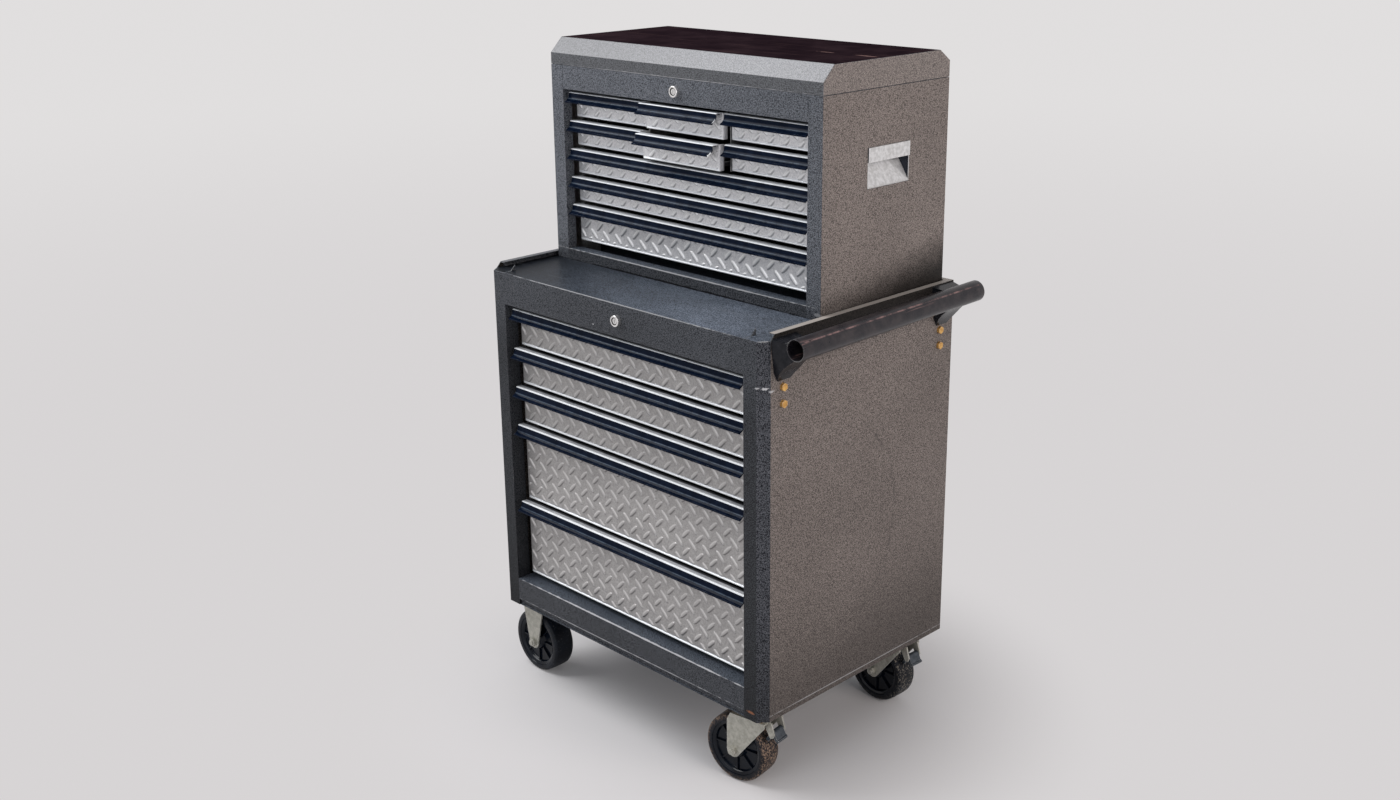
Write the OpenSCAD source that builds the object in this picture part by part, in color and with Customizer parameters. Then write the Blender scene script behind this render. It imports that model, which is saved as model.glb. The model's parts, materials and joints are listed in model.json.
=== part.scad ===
// Machinist's tool chest: a nine-drawer top chest standing in the tray of a
// five-drawer roller cabinet. Millimetres, +Z up, drawers open towards -Y.
// The modules draw about the middle of the cabinet's box at floor level, and
// seated() moves everything so that the origin is under the middle of the whole.

/* [Roller cabinet] */
// Width over the side panels
cab_w = 690; // [686:2:730]
// Depth from the front frame to the back panel
cab_d = 486; // [460:2:520]
// Height of the sill under the lowest drawer
sill_h = 56; // [50:1:64]
// Height of the front rail over the top drawer
cab_header_h = 59; // [54:1:66]
// Height taken by one shallow drawer
cab_shallow_pitch = 75; // [70:1:80]
// Height taken by one deep drawer
cab_deep_pitch = 155; // [148:1:164]
// How far the rims of the top tray stand up
rim_h = 10; // [8:1:14]
// Width of the front of a corner post
cab_post_w = 28.5; // [26:0.5:32]

/* [Top chest] */
// Width over the side panels
chest_w = 658; // [654:1:662]
// Depth from the front frame to the back panel
chest_d = 322; // [310:2:330]
// Gap between the chest's back and the back of the cabinet
chest_rear_gap = 12; // [12:1:20]
// Height of the rail under the lowest drawer
chest_rail_h = 21; // [19:1:26]
// Height taken by one shallow drawer
chest_shallow_pitch = 52; // [50:1:56]
// Height taken by the deep bottom drawer
chest_deep_pitch = 76; // [72:1:84]
// Height of the front rail over the top drawers
chest_header_h = 43; // [40:1:48]
// Height of the lid
lid_h = 47; // [44:1:52]
// Size of the slope along the lid's front edge
lid_front_slope = 26; // [22:1:30]

/* [Drawers] */
// Width of a full-width drawer front
drawer_w = 588; // [584:1:589]
// Depth of the pull, from the plate to its lip
pull_depth = 27; // [25:1:29]
// Height of the pull, from its ledge to its lip
pull_h = 18.6; // [18:0.2:20]
// How far the upper small middle drawer stands open
ajar_upper = 10; // [0:1:20]
// How far the lower small middle drawer stands open
ajar_lower = 19; // [0:1:30]

/* [Push handle and casters] */
// Radius of the push handle's tube
tube_r = 18; // [16:0.5:19]
// Distance from the side panel to the tube's centre
tube_reach = 47; // [45:1:52]
// Radius of a caster wheel
wheel_r = 62.5; // [60:0.5:63]
// Width of a caster wheel over its tread
wheel_w = 45; // [40:1:46]
// Height of a caster, floor to cabinet
caster_h = 154; // [153:1:158]
// Heading of the front swivel caster's wheel, as it stands
front_heading = 188; // [180:1:200]
// Heading of the rear swivel caster's wheel, as it stands
rear_heading = 178; // [170:1:180]

/* [Sheet metal] */
// Thickness of the folded sheets
sheet = 1.5; // [1.2:0.1:1.6]

/* [Hidden] */
$fn = 48;
CAB_DRAWERS = [1, 2, 3, 4, 5];
CHEST_DRAWERS = ["1a", "1b", "1c", "2a", "2b", "2c", "3", "4", "5"];

// Colours of the finishes
PAINT = [0.33, 0.33, 0.34];
PLATE = [0.68, 0.67, 0.66];
BLACK = [0.06, 0.07, 0.08];
ZINC = [0.66, 0.66, 0.62];
YELLOW_ZINC = [0.80, 0.62, 0.30];
CHROME = [0.82, 0.83, 0.85];

// Levels, from the floor up
cab_shallow_rows = 3;
cab_z = caster_h;
cab_rows_z = cab_z + sill_h + 6;
cab_top_drawer_z = cab_rows_z + 2 * cab_deep_pitch + cab_shallow_rows * cab_shallow_pitch;
cab_opening_z = cab_top_drawer_z + 9;
cab_top = cab_opening_z + cab_header_h;
chest_z = cab_top;
chest_rows_z = chest_z + chest_rail_h + 7;
chest_top_drawer_z = chest_rows_z + chest_deep_pitch + 4 * chest_shallow_pitch;
chest_opening_z = chest_top_drawer_z + 6;
chest_top = chest_opening_z + chest_header_h;
till_z = chest_opening_z + 3;
lid_gap = 0.6;
top = chest_top + lid_h;

// The cabinet's plan: the box is centred in X and Y
cx = cab_w / 2;
cy = cab_d / 2;
bevel_x = 14;
bevel_y = 18;
cab_open_x = cx - bevel_x - cab_post_w;
header_seam_x = 275;
cab_inside = cx - sheet;

// The chest's plan
hx = chest_w / 2;
chest_back = cy - chest_rear_gap;
chest_front = chest_back - chest_d;
chest_open_x = drawer_w / 2 + 4;
chest_inside = hx - sheet;

// Drawers and their slides
drawer_x = drawer_w / 2;
small_gap = 9;
small_w = (drawer_w - 2 * small_gap) / 3;
small_pitch = small_w + small_gap;
box_inset = 14;
channel_gap = 4;
upright_w = 34;
cab_plate_y = -cy + pull_depth;
chest_plate_y = chest_front + pull_depth;
cab_box_d = 420;
chest_box_d = 268;
cab_plate_gap = 4;
chest_plate_gap = 6;

// Push handle: the tube runs along Y outside the right side panel and rises a little to the rear
tube_x = cx + tube_reach;
tube_z = cab_top - 6.5;
tube_rise = 5.5;
tube_wall = 1.5;
tube_front = -cy + 22;
tube_rear = cy + 2;
tube_tilt = atan(tube_rise / (tube_rear - tube_front));
bracket_y = [-195.5, 211];
bracket_foot = -61.5;
bracket_crest = 9.5;
bracket_wall = 2.5;
bolt_r = 4;
bolt_hole_r = 4.1;
// Middles of the handle's bolts on the panel, in Y and Z
handle_bolts = [
    [-197.5, cab_top - 80], [-197.5, cab_top - 108], [206, cab_top - 73], [206, cab_top - 101]
];

// Casters
caster_x = cx - 55;
caster_y = cy - 54;
rigid_x = cx - 43;
rigid_y = cy - 58;
caster_plate_w = 86;
caster_bolt_at = 33;
trail = 38;
axle_r = 5;
running_gap = 0.05;
plate_t = 3;
leg_inner = wheel_w / 2 + 3;
leg_t = 3;
crown_z = 130;
race_z = 142;
pedal_pin = [-33.5, 110.5];
pedal_pin_r = 3;

// Locks: how far the collar stands out, its recess and the plug's face
lock_r = 10;
lock_body_r = 8;
lock_reach = 8;
lock_recess = 2;
plug_r = 5;
plug_face = lock_reach - 1.2;
cab_lock_x = 8;
cab_lock_z = cab_opening_z + 30;
chest_lock_z = chest_opening_z + 21.5;

// Hinge of the lid
hinge_r = 3.5;
hinge_pin_r = 1.6;
hinge_y = chest_back + hinge_r + 0.4;
hinge_z = chest_top + lid_gap / 2;
hinge_half = 250;
hinge_split = [-250, -150, -50, 50, 150, 250];

// Recessed side handles of the chest
grip_y = (chest_front + chest_back) / 2 + 3.5;
grip_w = 107;
grip_top = chest_z + 267;
grip_bottom = chest_z + 200;

// ---------------------------------------------------------------- helpers

// Puts the middle of the whole object's box over the origin
module seated() {
    x_mid = (tube_x + tube_r - rigid_x - wheel_r) / 2;
    y_mid = (tube_rear - cy - lock_reach) / 2;
    translate([-x_mid, -y_mid, 0]) children();
}

function unit(v) = v / norm(v);
function left_of(v) = [-v[1], v[0]];

// The point that lies t to the left of a bend in a folded sheet
function bend(p, i, t) =
    let (
        last = len(p) - 1,
        a = i == 0 ? unit(p[1] - p[0]) : unit(p[i] - p[i - 1]),
        b = i == last ? a : unit(p[i + 1] - p[i]),
        na = left_of(a),
        nb = left_of(b)
    )
    p[i] + t * (na + nb) / (1 + na * nb);

// Outline of a sheet of thickness t whose outer face follows the path p
function folded(p, t) = concat(p, [for (i = [len(p) - 1 : -1 : 0]) bend(p, i, t)]);

// Points of an arc about c from angle a to angle b in n steps
function arc(c, r, a, b, n) =
    [for (i = [0 : n]) c + r * [cos(a + (b - a) * i / n), sin(a + (b - a) * i / n)]];

// A profile drawn in Y and Z, run along X for the width w about the middle
module along_x(w) {
    translate([-w / 2, 0, 0]) rotate([90, 0, 90]) linear_extrude(w) children();
}

// A profile drawn in X and Z, run along Y for the width w about the middle
module along_y(w) {
    translate([0, w / 2, 0]) rotate([90, 0, 0]) linear_extrude(w) children();
}

module both_sides() {
    children();
    mirror([1, 0, 0]) children();
}

module block(a, b) {
    translate(a) cube(b - a);
}

// ---------------------------------------------------------------- drawers

// The front edge of the drawer's grey ledge, and the gap to the trim round it
ledge_reach = pull_depth - 12;
trim_gap = 0.1;
// The rolled bottom edge of a drawer's plate
bead_r = 1.8;

// Section of the black trim, seen from the drawer's right end: a hook under the
// ledge, a front wall that curves in and a rounded lip. The plate is at y = 0.
function trim_section() =
    let (
        wall = 2,
        waist = [-ledge_reach - 14, -4],
        hook_end = -ledge_reach + 7,
        hook_top = -sheet - trim_gap
    )
    concat(
        arc([-ledge_reach, -wall], wall, 90, 180, 3),
        arc(waist, 12, 0, -68, 6),
        [[-pull_depth + 0.5, -pull_h + 2.8], [-pull_depth, -pull_h + 2.2]],
        arc([-pull_depth + 1, -pull_h + 1], 1, 180, 270, 3),
        [[-pull_depth + 2.4, -pull_h + 0.4]],
        arc(waist, 12 + wall, -70, 0, 6),
        [[-ledge_reach, hook_top - sheet], [hook_end, hook_top - sheet], [hook_end, hook_top], [-ledge_reach, hook_top]]
    );

module pull_trim(w) {
    along_x(w) polygon(trim_section());
}

// The plate: a folded pan with rounded side folds, a rolled bottom edge and a
// top edge folded forward as the ledge that carries the trim
module facing(w, h) {
    x = w / 2;
    r = 3;
    path = concat(
        [[-x, 11]],
        arc([-x + r, r], r, 180, 270, 4),
        arc([x - r, r], r, 270, 360, 4),
        [[x, 11]]
    );
    translate([0, 0, -h]) linear_extrude(h) polygon(folded(path, sheet));
    translate([0, 0, -h]) along_x(w - 2 * r)
        polygon(concat([[0.5, 2 * bead_r]], arc([0, bead_r], bead_r, 90, 270, 6), [[0.5, 0]]));
    block([-x, -ledge_reach + trim_gap, -sheet], [x, sheet, 0]);
}

module drawer_front(w, h) {
    color(PLATE) facing(w, h);
    color(BLACK) pull_trim(w);
}

// Open box with a slide member along each side
module drawer_box(w, h, depth, slide_z, slide_h) {
    x = w / 2 - box_inset;
    fin = slide_h / 2 - sheet - 0.5;
    difference() {
        block([-x, sheet, -h + 3], [x, depth, -9]);
        block([-x + sheet, 2 * sheet, -h + 3 + sheet], [x - sheet, depth - sheet, 0]);
    }
    both_sides() translate([x, (depth + 14) / 2, slide_z]) along_y(depth - 14)
        polygon(folded([[13, fin], [0, fin], [0, -fin], [13, -fin]], sheet));
}

// The fixed member of a slide, open towards the drawer, on the drawer's +X side
module slide_channel(w, y0, y1, slide_z, slide_h) {
    x = w / 2 + channel_gap;
    half = slide_h / 2;
    translate([x, (y0 + y1) / 2, slide_z]) along_y(y1 - y0)
        polygon(folded([[-15, -half], [0, -half], [0, half], [-15, half]], sheet));
}

cab_slide_h = 24;
chest_slide_h = 18;

// Row n of the cabinet, from the top: ledge level and height
function cab_row_top(n) =
    cab_top_drawer_z - min(n - 1, cab_shallow_rows) * cab_shallow_pitch
    - max(n - 1 - cab_shallow_rows, 0) * cab_deep_pitch;
function cab_row_pitch(n) = n <= cab_shallow_rows ? cab_shallow_pitch : cab_deep_pitch;

// Row, middle, width, pitch and opening of a chest drawer
function chest_row(id) = id[0] == "1" ? 1 : id[0] == "2" ? 2 : id[0] == "3" ? 3 : id[0] == "4" ? 4 : 5;
function chest_mid(id) = id[1] == "a" ? -small_pitch : id[1] == "c" ? small_pitch : 0;
function chest_front_w(id) = len(id) == 2 ? small_w : drawer_w;
function chest_pitch(id) = id == "5" ? chest_deep_pitch : chest_shallow_pitch;
function chest_row_top(n) = chest_top_drawer_z - (n - 1) * chest_shallow_pitch;
function chest_ajar(id) = id == "1b" ? ajar_upper : id == "2b" ? ajar_lower : 0;

module at_cab_drawer(n) {
    seated() translate([0, cab_plate_y, cab_row_top(n)]) children();
}

module cab_drawer_box(n) {
    p = cab_row_pitch(n);
    color(PAINT) at_cab_drawer(n)
        drawer_box(drawer_w, p - cab_plate_gap, cab_box_d, -p / 2, cab_slide_h);
}

module cab_drawer_front(n) {
    at_cab_drawer(n) drawer_front(drawer_w, cab_row_pitch(n) - cab_plate_gap);
}

module at_chest_drawer(id) {
    y = chest_plate_y - chest_ajar(id);
    seated() translate([chest_mid(id), y, chest_row_top(chest_row(id))]) children();
}

module chest_drawer_box(id) {
    p = chest_pitch(id);
    color(PAINT) at_chest_drawer(id)
        drawer_box(chest_front_w(id), p - chest_plate_gap, chest_box_d, -p / 2, chest_slide_h);
}

module chest_drawer_front(id) {
    at_chest_drawer(id) drawer_front(chest_front_w(id), chest_pitch(id) - chest_plate_gap);
}

// ---------------------------------------------------------------- roller cabinet

// Plan of the wrapped sheet: post, bevelled corner, side, back and round again
function cab_wrap() = [
    [cab_open_x, -cy + 28], [cab_open_x, -cy], [cx - bevel_x, -cy], [cx, -cy + bevel_y],
    [cx, cy], [-cx, cy],
    [-cx, -cy + bevel_y], [-cx + bevel_x, -cy], [-cab_open_x, -cy], [-cab_open_x, -cy + 28]
];

module cab_shell() {
    rim_flange = 12;
    rim_z = cab_top + rim_h;
    color(PAINT) seated() difference() {
        union() {
            translate([0, 0, cab_z]) linear_extrude(rim_z - cab_z) polygon(folded(cab_wrap(), sheet));
            // the posts' wide heads beside the front rail
            both_sides() block([header_seam_x + 0.1, -cy, cab_opening_z],
                [cab_open_x, -cy + sheet, cab_top]);
            // inward flange round the rim
            difference() {
                block([-cx, -cy + bevel_y, rim_z - sheet], [cx, cy, rim_z]);
                block([-cx + rim_flange, -cy, rim_z - 5], [cx - rim_flange, cy - rim_flange, rim_z + 1]);
            }
        }
        // the rim ends behind the bevelled corners, cut on the slant
        along_x(cab_w + 2) polygon([
            [-cy - 1, cab_top], [-cy + bevel_y, cab_top],
            [-cy + bevel_y + rim_h, rim_z + 1], [-cy - 1, rim_z + 1]
        ]);
        for (b = handle_bolts)
            translate([cx - 10, b[0], b[1]]) rotate([0, 90, 0]) cylinder(r = bolt_hole_r, h = 20);
    }
}

// Room in a floor for the posts' folded-back edges
module post_notches(floor_z) {
    both_sides() block([cab_open_x - 0.1, -cy, floor_z - 1],
        [cab_open_x + sheet + 0.1, -cy + 28.1, floor_z + sheet + 1]);
}

module cab_tray() {
    floor_edge = -cy + sheet + 0.1;
    color(PAINT) seated() difference() {
        union() {
            // floor, with its front corners clipped inside the bevels
            translate([0, 0, cab_top - sheet]) linear_extrude(sheet) polygon([
                [cx - bevel_x - 1, floor_edge], [cab_inside - 0.1, -cy + bevel_y + 1.2],
                [cab_inside - 0.1, cy - sheet - 0.1], [-cab_inside + 0.1, cy - sheet - 0.1],
                [-cab_inside + 0.1, -cy + bevel_y + 1.2], [-cx + bevel_x + 1, floor_edge]
            ]);
            // front rail, folded down and back
            along_x(2 * header_seam_x) polygon(folded([
                [-cy + 20, cab_opening_z + 10], [-cy + 20, cab_opening_z], [-cy, cab_opening_z],
                [-cy, cab_top - 2.5], [-cy + 0.7, cab_top - 0.7], [-cy + 2.5, cab_top],
                [-cy + 30, cab_top]
            ], -sheet));
            // upstands inside the rims
            both_sides() block([cab_inside - sheet - 0.1, -cy + bevel_y + rim_h + 4, cab_top - sheet],
                [cab_inside - 0.1, cy - sheet - 0.1, cab_top + rim_h - sheet]);
            block([-cab_inside + 0.1, cy - 2 * sheet - 0.1, cab_top - sheet],
                [cab_inside - 0.1, cy - sheet - 0.1, cab_top + rim_h - sheet]);
        }
        post_notches(cab_top - sheet);
        translate([cab_lock_x, -cy - 1, cab_lock_z]) rotate([-90, 0, 0])
            cylinder(r = lock_body_r + 0.1, h = 10);
    }
}

module cab_base() {
    sill_z = cab_z + sill_h;
    color(PAINT) seated() difference() {
        union() {
            translate([0, 0, cab_z]) linear_extrude(sheet) polygon([
                [cx - bevel_x - 1, -cy + sheet + 0.1], [cab_inside - 0.1, -cy + bevel_y + 1.2],
                [cab_inside - 0.1, cy - sheet - 0.1], [-cab_inside + 0.1, cy - sheet - 0.1],
                [-cab_inside + 0.1, -cy + bevel_y + 1.2], [-cx + bevel_x + 1, -cy + sheet + 0.1]
            ]);
            // sill: a toe strip, a step forward, the face and the ledge
            along_x(2 * cab_open_x - 0.2) polygon(folded([
                [-cy + 60, cab_z], [-cy + 4, cab_z], [-cy + 4, cab_z + 12], [-cy, cab_z + 12],
                [-cy, sill_z], [-cy + 46, sill_z], [-cy + 46, sill_z - 12]
            ], -sheet));
        }
        post_notches(cab_z);
        for (p = caster_bolts())
            translate([p[0], p[1], cab_z - 1]) cylinder(r = bolt_hole_r, h = 4);
    }
}

// Hat-shaped uprights, open towards the side panel, that the slides are welded to
module uprights(wall_x, places, z0, z1) {
    face_x = drawer_x + channel_gap;
    for (y = places)
        translate([0, 0, z0]) linear_extrude(z1 - z0) polygon(folded([
            [wall_x, y], [face_x, y], [face_x, y + upright_w], [wall_x, y + upright_w]
        ], -sheet));
}

module cab_slide_racks() {
    y0 = cab_plate_y + 18;
    y1 = cab_plate_y + cab_box_d - 2;
    color(ZINC) seated() both_sides() {
        uprights(cab_inside - 0.1, [cab_plate_y + 46, cab_plate_y + 380.5],
            cab_z + sheet, cab_opening_z - 4);
        for (n = CAB_DRAWERS)
            translate([0, 0, cab_row_top(n)])
                slide_channel(drawer_w, y0, y1, -cab_row_pitch(n) / 2, cab_slide_h);
    }
}

// ---------------------------------------------------------------- push handle

// Height of the tube's axis over a place along Y
function tube_z_at(y) = tube_z + (y - tube_front) * tan(tube_tilt);

// Puts something drawn up +Z from the origin on the tube's axis, from its front end
module on_tube() {
    translate([tube_x, tube_front, tube_z]) rotate([tube_tilt - 90, 0, 0]) children();
}

module push_handle_tube() {
    length = (tube_rear - tube_front - tube_r * sin(tube_tilt)) / cos(tube_tilt);
    color(BLACK) seated() on_tube() difference() {
        cylinder(r = tube_r, h = length);
        translate([0, 0, -1]) cylinder(r = tube_r - tube_wall, h = length + 2);
    }
}

// A bracket's side in X and Z, the tube's axis at z = 0: foot on the panel, hollow
// curve up under the tube, seat, and crest on the panel. The inset draws its inside.
function bracket_side(inset) =
    let (
        panel = inset > 0 ? cx - 1 : cx,
        seat_r = inset > 0 ? tube_r + inset : tube_r - 2,
        hollow_r = 126 + inset,
        start = 180 - acos((tube_reach + 63.5) / hollow_r)
    )
    concat(
        [[panel, bracket_foot + inset]],
        arc([tube_x + 64, -124], hollow_r, start, inset > 0 ? 125.5 : 123.5, 6),
        arc([tube_x, 0], seat_r, 237, 165, 6),
        [[panel, bracket_crest - inset]]
    );

// The bracket's outline on the panel in Y and Z: narrow at the foot, wide at the crest
function bracket_face(inset) =
    let (side = [[14.5, bracket_foot - 1], [23, -47], [27, -20], [28.5, bracket_crest + 1]])
    concat(
        [for (p = side) [p[0] - inset, p[1]]],
        [for (i = [3 : -1 : 0]) [inset - side[i][0], side[i][1]]]
    );

// A bracket is drawn in as it leaves the panel
function bracket_plan(inset) =
    let (near = 29 - inset, far = 18 - inset)
    [[cx - 2, -near], [cx + 45, -far], [cx + 45, far], [cx - 2, near]];

module bracket_form(inset) {
    intersection() {
        along_y(80) polygon(bracket_side(inset));
        translate([cx, 0, 0]) along_x(120) polygon(bracket_face(inset));
        translate([0, 0, -80]) linear_extrude(120) polygon(bracket_plan(inset));
    }
}

module push_handle_brackets() {
    color(BLACK) seated() {
        difference() {
            for (y = bracket_y)
                translate([0, y, tube_z_at(y)]) difference() {
                    bracket_form(0);
                    bracket_form(bracket_wall);
                }
            on_tube() translate([0, 0, -20]) cylinder(r = tube_r, h = cab_d + 40);
        }
        // backing plates behind the panel
        for (i = [0, 2])
            difference() {
                block([cab_inside - 3, handle_bolts[i][0] - 7, handle_bolts[i + 1][1] - 16],
                    [cab_inside, handle_bolts[i][0] + 7, cab_top - 20]);
                for (b = handle_bolts)
                    translate([cab_inside - 5, b[0], b[1]]) rotate([0, 90, 0])
                        cylinder(r = bolt_hole_r, h = 8);
            }
    }
}

// ---------------------------------------------------------------- bolts

// Where the casters stand: middle of the plate, for [rigid, swivel] pairs
function rigid_spots() = [[-rigid_x, -rigid_y], [-rigid_x, rigid_y]];
function swivel_spots() = [[caster_x, -caster_y], [caster_x, caster_y]];
function caster_bolts() =
    [for (s = concat(rigid_spots(), swivel_spots()), i = [-1, 1], j = [-1, 1])
        s + [i, j] * caster_bolt_at];

// Hexagon-headed bolt with its nut, head under z = 0, gripping a thickness
module m8_bolt(grip) {
    translate([0, 0, -5.3]) cylinder(r = 7, h = 5.3, $fn = 6);
    translate([0, 0, -0.5]) cylinder(r = bolt_r, h = grip + 9);
    translate([0, 0, grip]) cylinder(r = 7, h = 6.5, $fn = 6);
}

module m8_bolts() {
    color(YELLOW_ZINC) seated() {
        for (b = handle_bolts)
            translate([cx, b[0], b[1]]) rotate([0, -90, 0]) m8_bolt(sheet + 3);
        for (p = caster_bolts())
            translate([p[0], p[1], cab_z - plate_t]) m8_bolt(plate_t + sheet);
    }
}

// ---------------------------------------------------------------- casters

// A caster is drawn with its wheel trailing towards +X, the swivel at x = 0
module at_swivel(spot, heading) {
    translate([spot[0], spot[1], 0]) rotate([0, 0, heading]) children();
}

module caster_plate() {
    difference() {
        translate([-caster_plate_w / 2, -caster_plate_w / 2, cab_z - plate_t])
            cube([caster_plate_w, caster_plate_w, plate_t]);
        for (i = [-1, 1], j = [-1, 1])
            translate([i * caster_bolt_at, j * caster_bolt_at, cab_z - plate_t - 1])
                cylinder(r = bolt_hole_r, h = plate_t + 2);
    }
}

module swivel_caster_plates() {
    color(ZINC) seated() for (s = swivel_spots()) translate([s[0], s[1], 0]) {
        caster_plate();
        // upper race and the kingpin that holds the fork
        translate([0, 0, race_z + 0.5]) cylinder(r = 30, h = cab_z - plate_t - race_z - 0.5);
        translate([0, 0, crown_z - 2]) cylinder(r = 6, h = cab_z - crown_z);
        translate([0, 0, crown_z - 5]) cylinder(r = 10, h = 4.5);
    }
}

// One cheek of a fork: wide at the crown, down to a round end at the axle
module cheek(front, back, axle_u, top_z) {
    end_r = 13;
    lean = atan2(axle_u - front - end_r * 0.2, top_z - 8 - wheel_r);
    difference() {
        union() {
            translate([axle_u, wheel_r]) circle(r = end_r);
            polygon([
                [axle_u - end_r * cos(lean), wheel_r - end_r * sin(lean)], [front, top_z - 8],
                [front, top_z], [back - 7, top_z], [back, top_z - 14],
                [axle_u + end_r, wheel_r]
            ]);
        }
        translate([axle_u, wheel_r]) circle(r = axle_r);
    }
}

module fork(front, back, axle_u, top_z) {
    for (s = [-1, 1])
        translate([0, s * (leg_inner + leg_t / 2), 0]) along_y(leg_t)
            cheek(front, back, axle_u, top_z);
}

module swivel_fork(spot, heading) {
    color(ZINC) seated() at_swivel(spot, heading) {
        fork(-27, trail + 13, trail, crown_z + 3);
        difference() {
            union() {
                block([-27, -leg_inner - leg_t, crown_z], [trail + 6, leg_inner + leg_t, crown_z + 3]);
                translate([0, 0, crown_z]) cylinder(r = 27, h = race_z - crown_z);
            }
            translate([0, 0, crown_z - 1]) cylinder(r = 6 + running_gap, h = 20);
        }
        // ears that carry the brake pedal's pin
        for (s = [-1, 1])
            translate([0, s * 15.5, 0]) along_y(3) polygon([
                [-22, crown_z + 3], [-34, crown_z + 3], [-40, 112], [-38, 106], [-32, 104], [-22, 122]
            ]);
        translate([pedal_pin[0], 17, pedal_pin[1]]) rotate([90, 0, 0])
            cylinder(r = pedal_pin_r, h = 34);
    }
}

module axle(u) {
    reach = leg_inner + leg_t;
    translate([u, -reach - 9, wheel_r]) rotate([-90, 0, 0]) cylinder(r = axle_r, h = 2 * reach + 18);
    for (s = [-1, 1])
        translate([u, s * (reach + 3), wheel_r]) rotate([90, 0, 0])
            cylinder(r = 8.5, h = 6, center = true, $fn = 6);
}

module swivel_axle(spot, heading) {
    color(ZINC) seated() at_swivel(spot, heading) axle(trail);
}

// Foot pedal: a hub, a pad that slopes down and out, and a shoe that swings up
// to the tread when the pad is pressed
module brake_pedal(spot, heading) {
    shoe = pedal_pin + 22.5 * [cos(-52), sin(-52)];
    across = 3 * [cos(38), sin(38)];
    color(ZINC) seated() at_swivel(spot, heading) difference() {
        union() {
            along_y(27) polygon(concat(
                arc(pedal_pin, 6, 60, 170, 6),
                [[-44, 102.5]],
                arc([-44.5, 99.5], 3, 140, 270, 4),
                [[-41, 98.5]],
                arc(pedal_pin, 6, 235, 330, 5)
            ));
            along_y(18) polygon([
                pedal_pin + across, pedal_pin - across, shoe - across, shoe + across
            ]);
        }
        translate([pedal_pin[0], 20, pedal_pin[1]]) rotate([90, 0, 0])
            cylinder(r = pedal_pin_r + running_gap, h = 40);
    }
}

module rigid_caster_forks() {
    color(ZINC) seated() for (s = rigid_spots()) translate([s[0], s[1], 0]) {
        caster_plate();
        block([-29, -leg_inner - leg_t, cab_z - plate_t - 4], [29, leg_inner + leg_t, cab_z - plate_t]);
        fork(-29, 29, 0, cab_z - plate_t);
    }
}

module rigid_caster_axles() {
    color(ZINC) seated() for (s = rigid_spots()) translate([s[0], s[1], 0]) axle(0);
}

// Half section of a wheel: hub, recessed web, rim ring and crowned tread
function wheel_section() =
    let (w = wheel_w / 2, r = wheel_r)
    concat(
        [[axle_r + running_gap, -w - 1.5], [15, -w - 1.5], [17, -w + 1], [20, -w + 9]],
        [[43, -w + 9], [45, -w + 3], [50, -w + 2], [51, -w]],
        arc([r - 6, -w + 6], 6, -80, -15, 4),
        [[r, -w + 12], [r, w - 12]],
        arc([r - 6, w - 6], 6, 15, 80, 4),
        [[51, w], [50, w - 2], [45, w - 3], [43, w - 9]],
        [[20, w - 9], [17, w - 1], [15, w + 1.5], [axle_r + running_gap, w + 1.5]]
    );

module wheel() {
    rotate([90, 0, 0]) rotate_extrude($fn = 96) polygon(wheel_section());
    // ribs across the recess on both faces
    for (i = [0 : 7], s = [-1, 1])
        rotate([0, i * 45, 0]) translate([18, s * (wheel_w / 2 - 6) - 3.5, -1.25]) cube([27, 7, 2.5]);
}

module caster_wheel(spot, heading, u) {
    color(BLACK) seated() at_swivel(spot, heading) translate([u, 0, wheel_r]) wheel();
}

// ---------------------------------------------------------------- locks

// Half section of a lock's barrel: a stout collar with a recessed face in
// front of y = 0, and the threaded body behind it
function lock_section() = [
    [plug_r + running_gap, 20], [plug_r + running_gap, -lock_reach + lock_recess],
    [plug_r + 1.5, -lock_reach + lock_recess], [plug_r + 1.5, -lock_reach + 0.6],
    [plug_r + 2.1, -lock_reach], [lock_r - 1.2, -lock_reach], [lock_r, -lock_reach + 1.2],
    [lock_r, 0], [lock_body_r, 0], [lock_body_r, 20]
];

module lock_barrel() {
    rotate([-90, 0, 0]) rotate_extrude() polygon(lock_section());
}

// Key plug with its slot, and the cam on its inner end
module lock_plug() {
    difference() {
        translate([0, -plug_face, 0]) rotate([-90, 0, 0]) cylinder(r = plug_r, h = plug_face + 22.8);
        block([-0.7, -lock_reach, -3.2], [0.7, 4, 3.2]);
    }
    block([-6, 20.5, -5], [6, 22.5, 17]);
}

module lock_barrels() {
    color(CHROME) seated() {
        translate([cab_lock_x, -cy, cab_lock_z]) lock_barrel();
        translate([0, chest_front, chest_lock_z]) lock_barrel();
    }
}

module cab_lock_plug() {
    color(CHROME) seated() translate([cab_lock_x, -cy, cab_lock_z]) lock_plug();
}

module chest_lock_plug() {
    color(CHROME) seated() translate([0, chest_front, chest_lock_z]) lock_plug();
}

// ---------------------------------------------------------------- top chest

module chest_shell() {
    post_back = chest_front + 20;
    wrap = [
        [chest_open_x, post_back], [chest_open_x, chest_front], [hx, chest_front],
        [hx, chest_back], [-hx, chest_back],
        [-hx, chest_front], [-chest_open_x, chest_front], [-chest_open_x, post_back]
    ];
    color(PAINT) seated() difference() {
        translate([0, 0, chest_z]) linear_extrude(chest_top - chest_z) polygon(folded(wrap, sheet));
        both_sides() block([hx - 5, grip_y - grip_w / 2, grip_bottom], [hx + 5, grip_y + grip_w / 2, grip_top]);
    }
}

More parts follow.
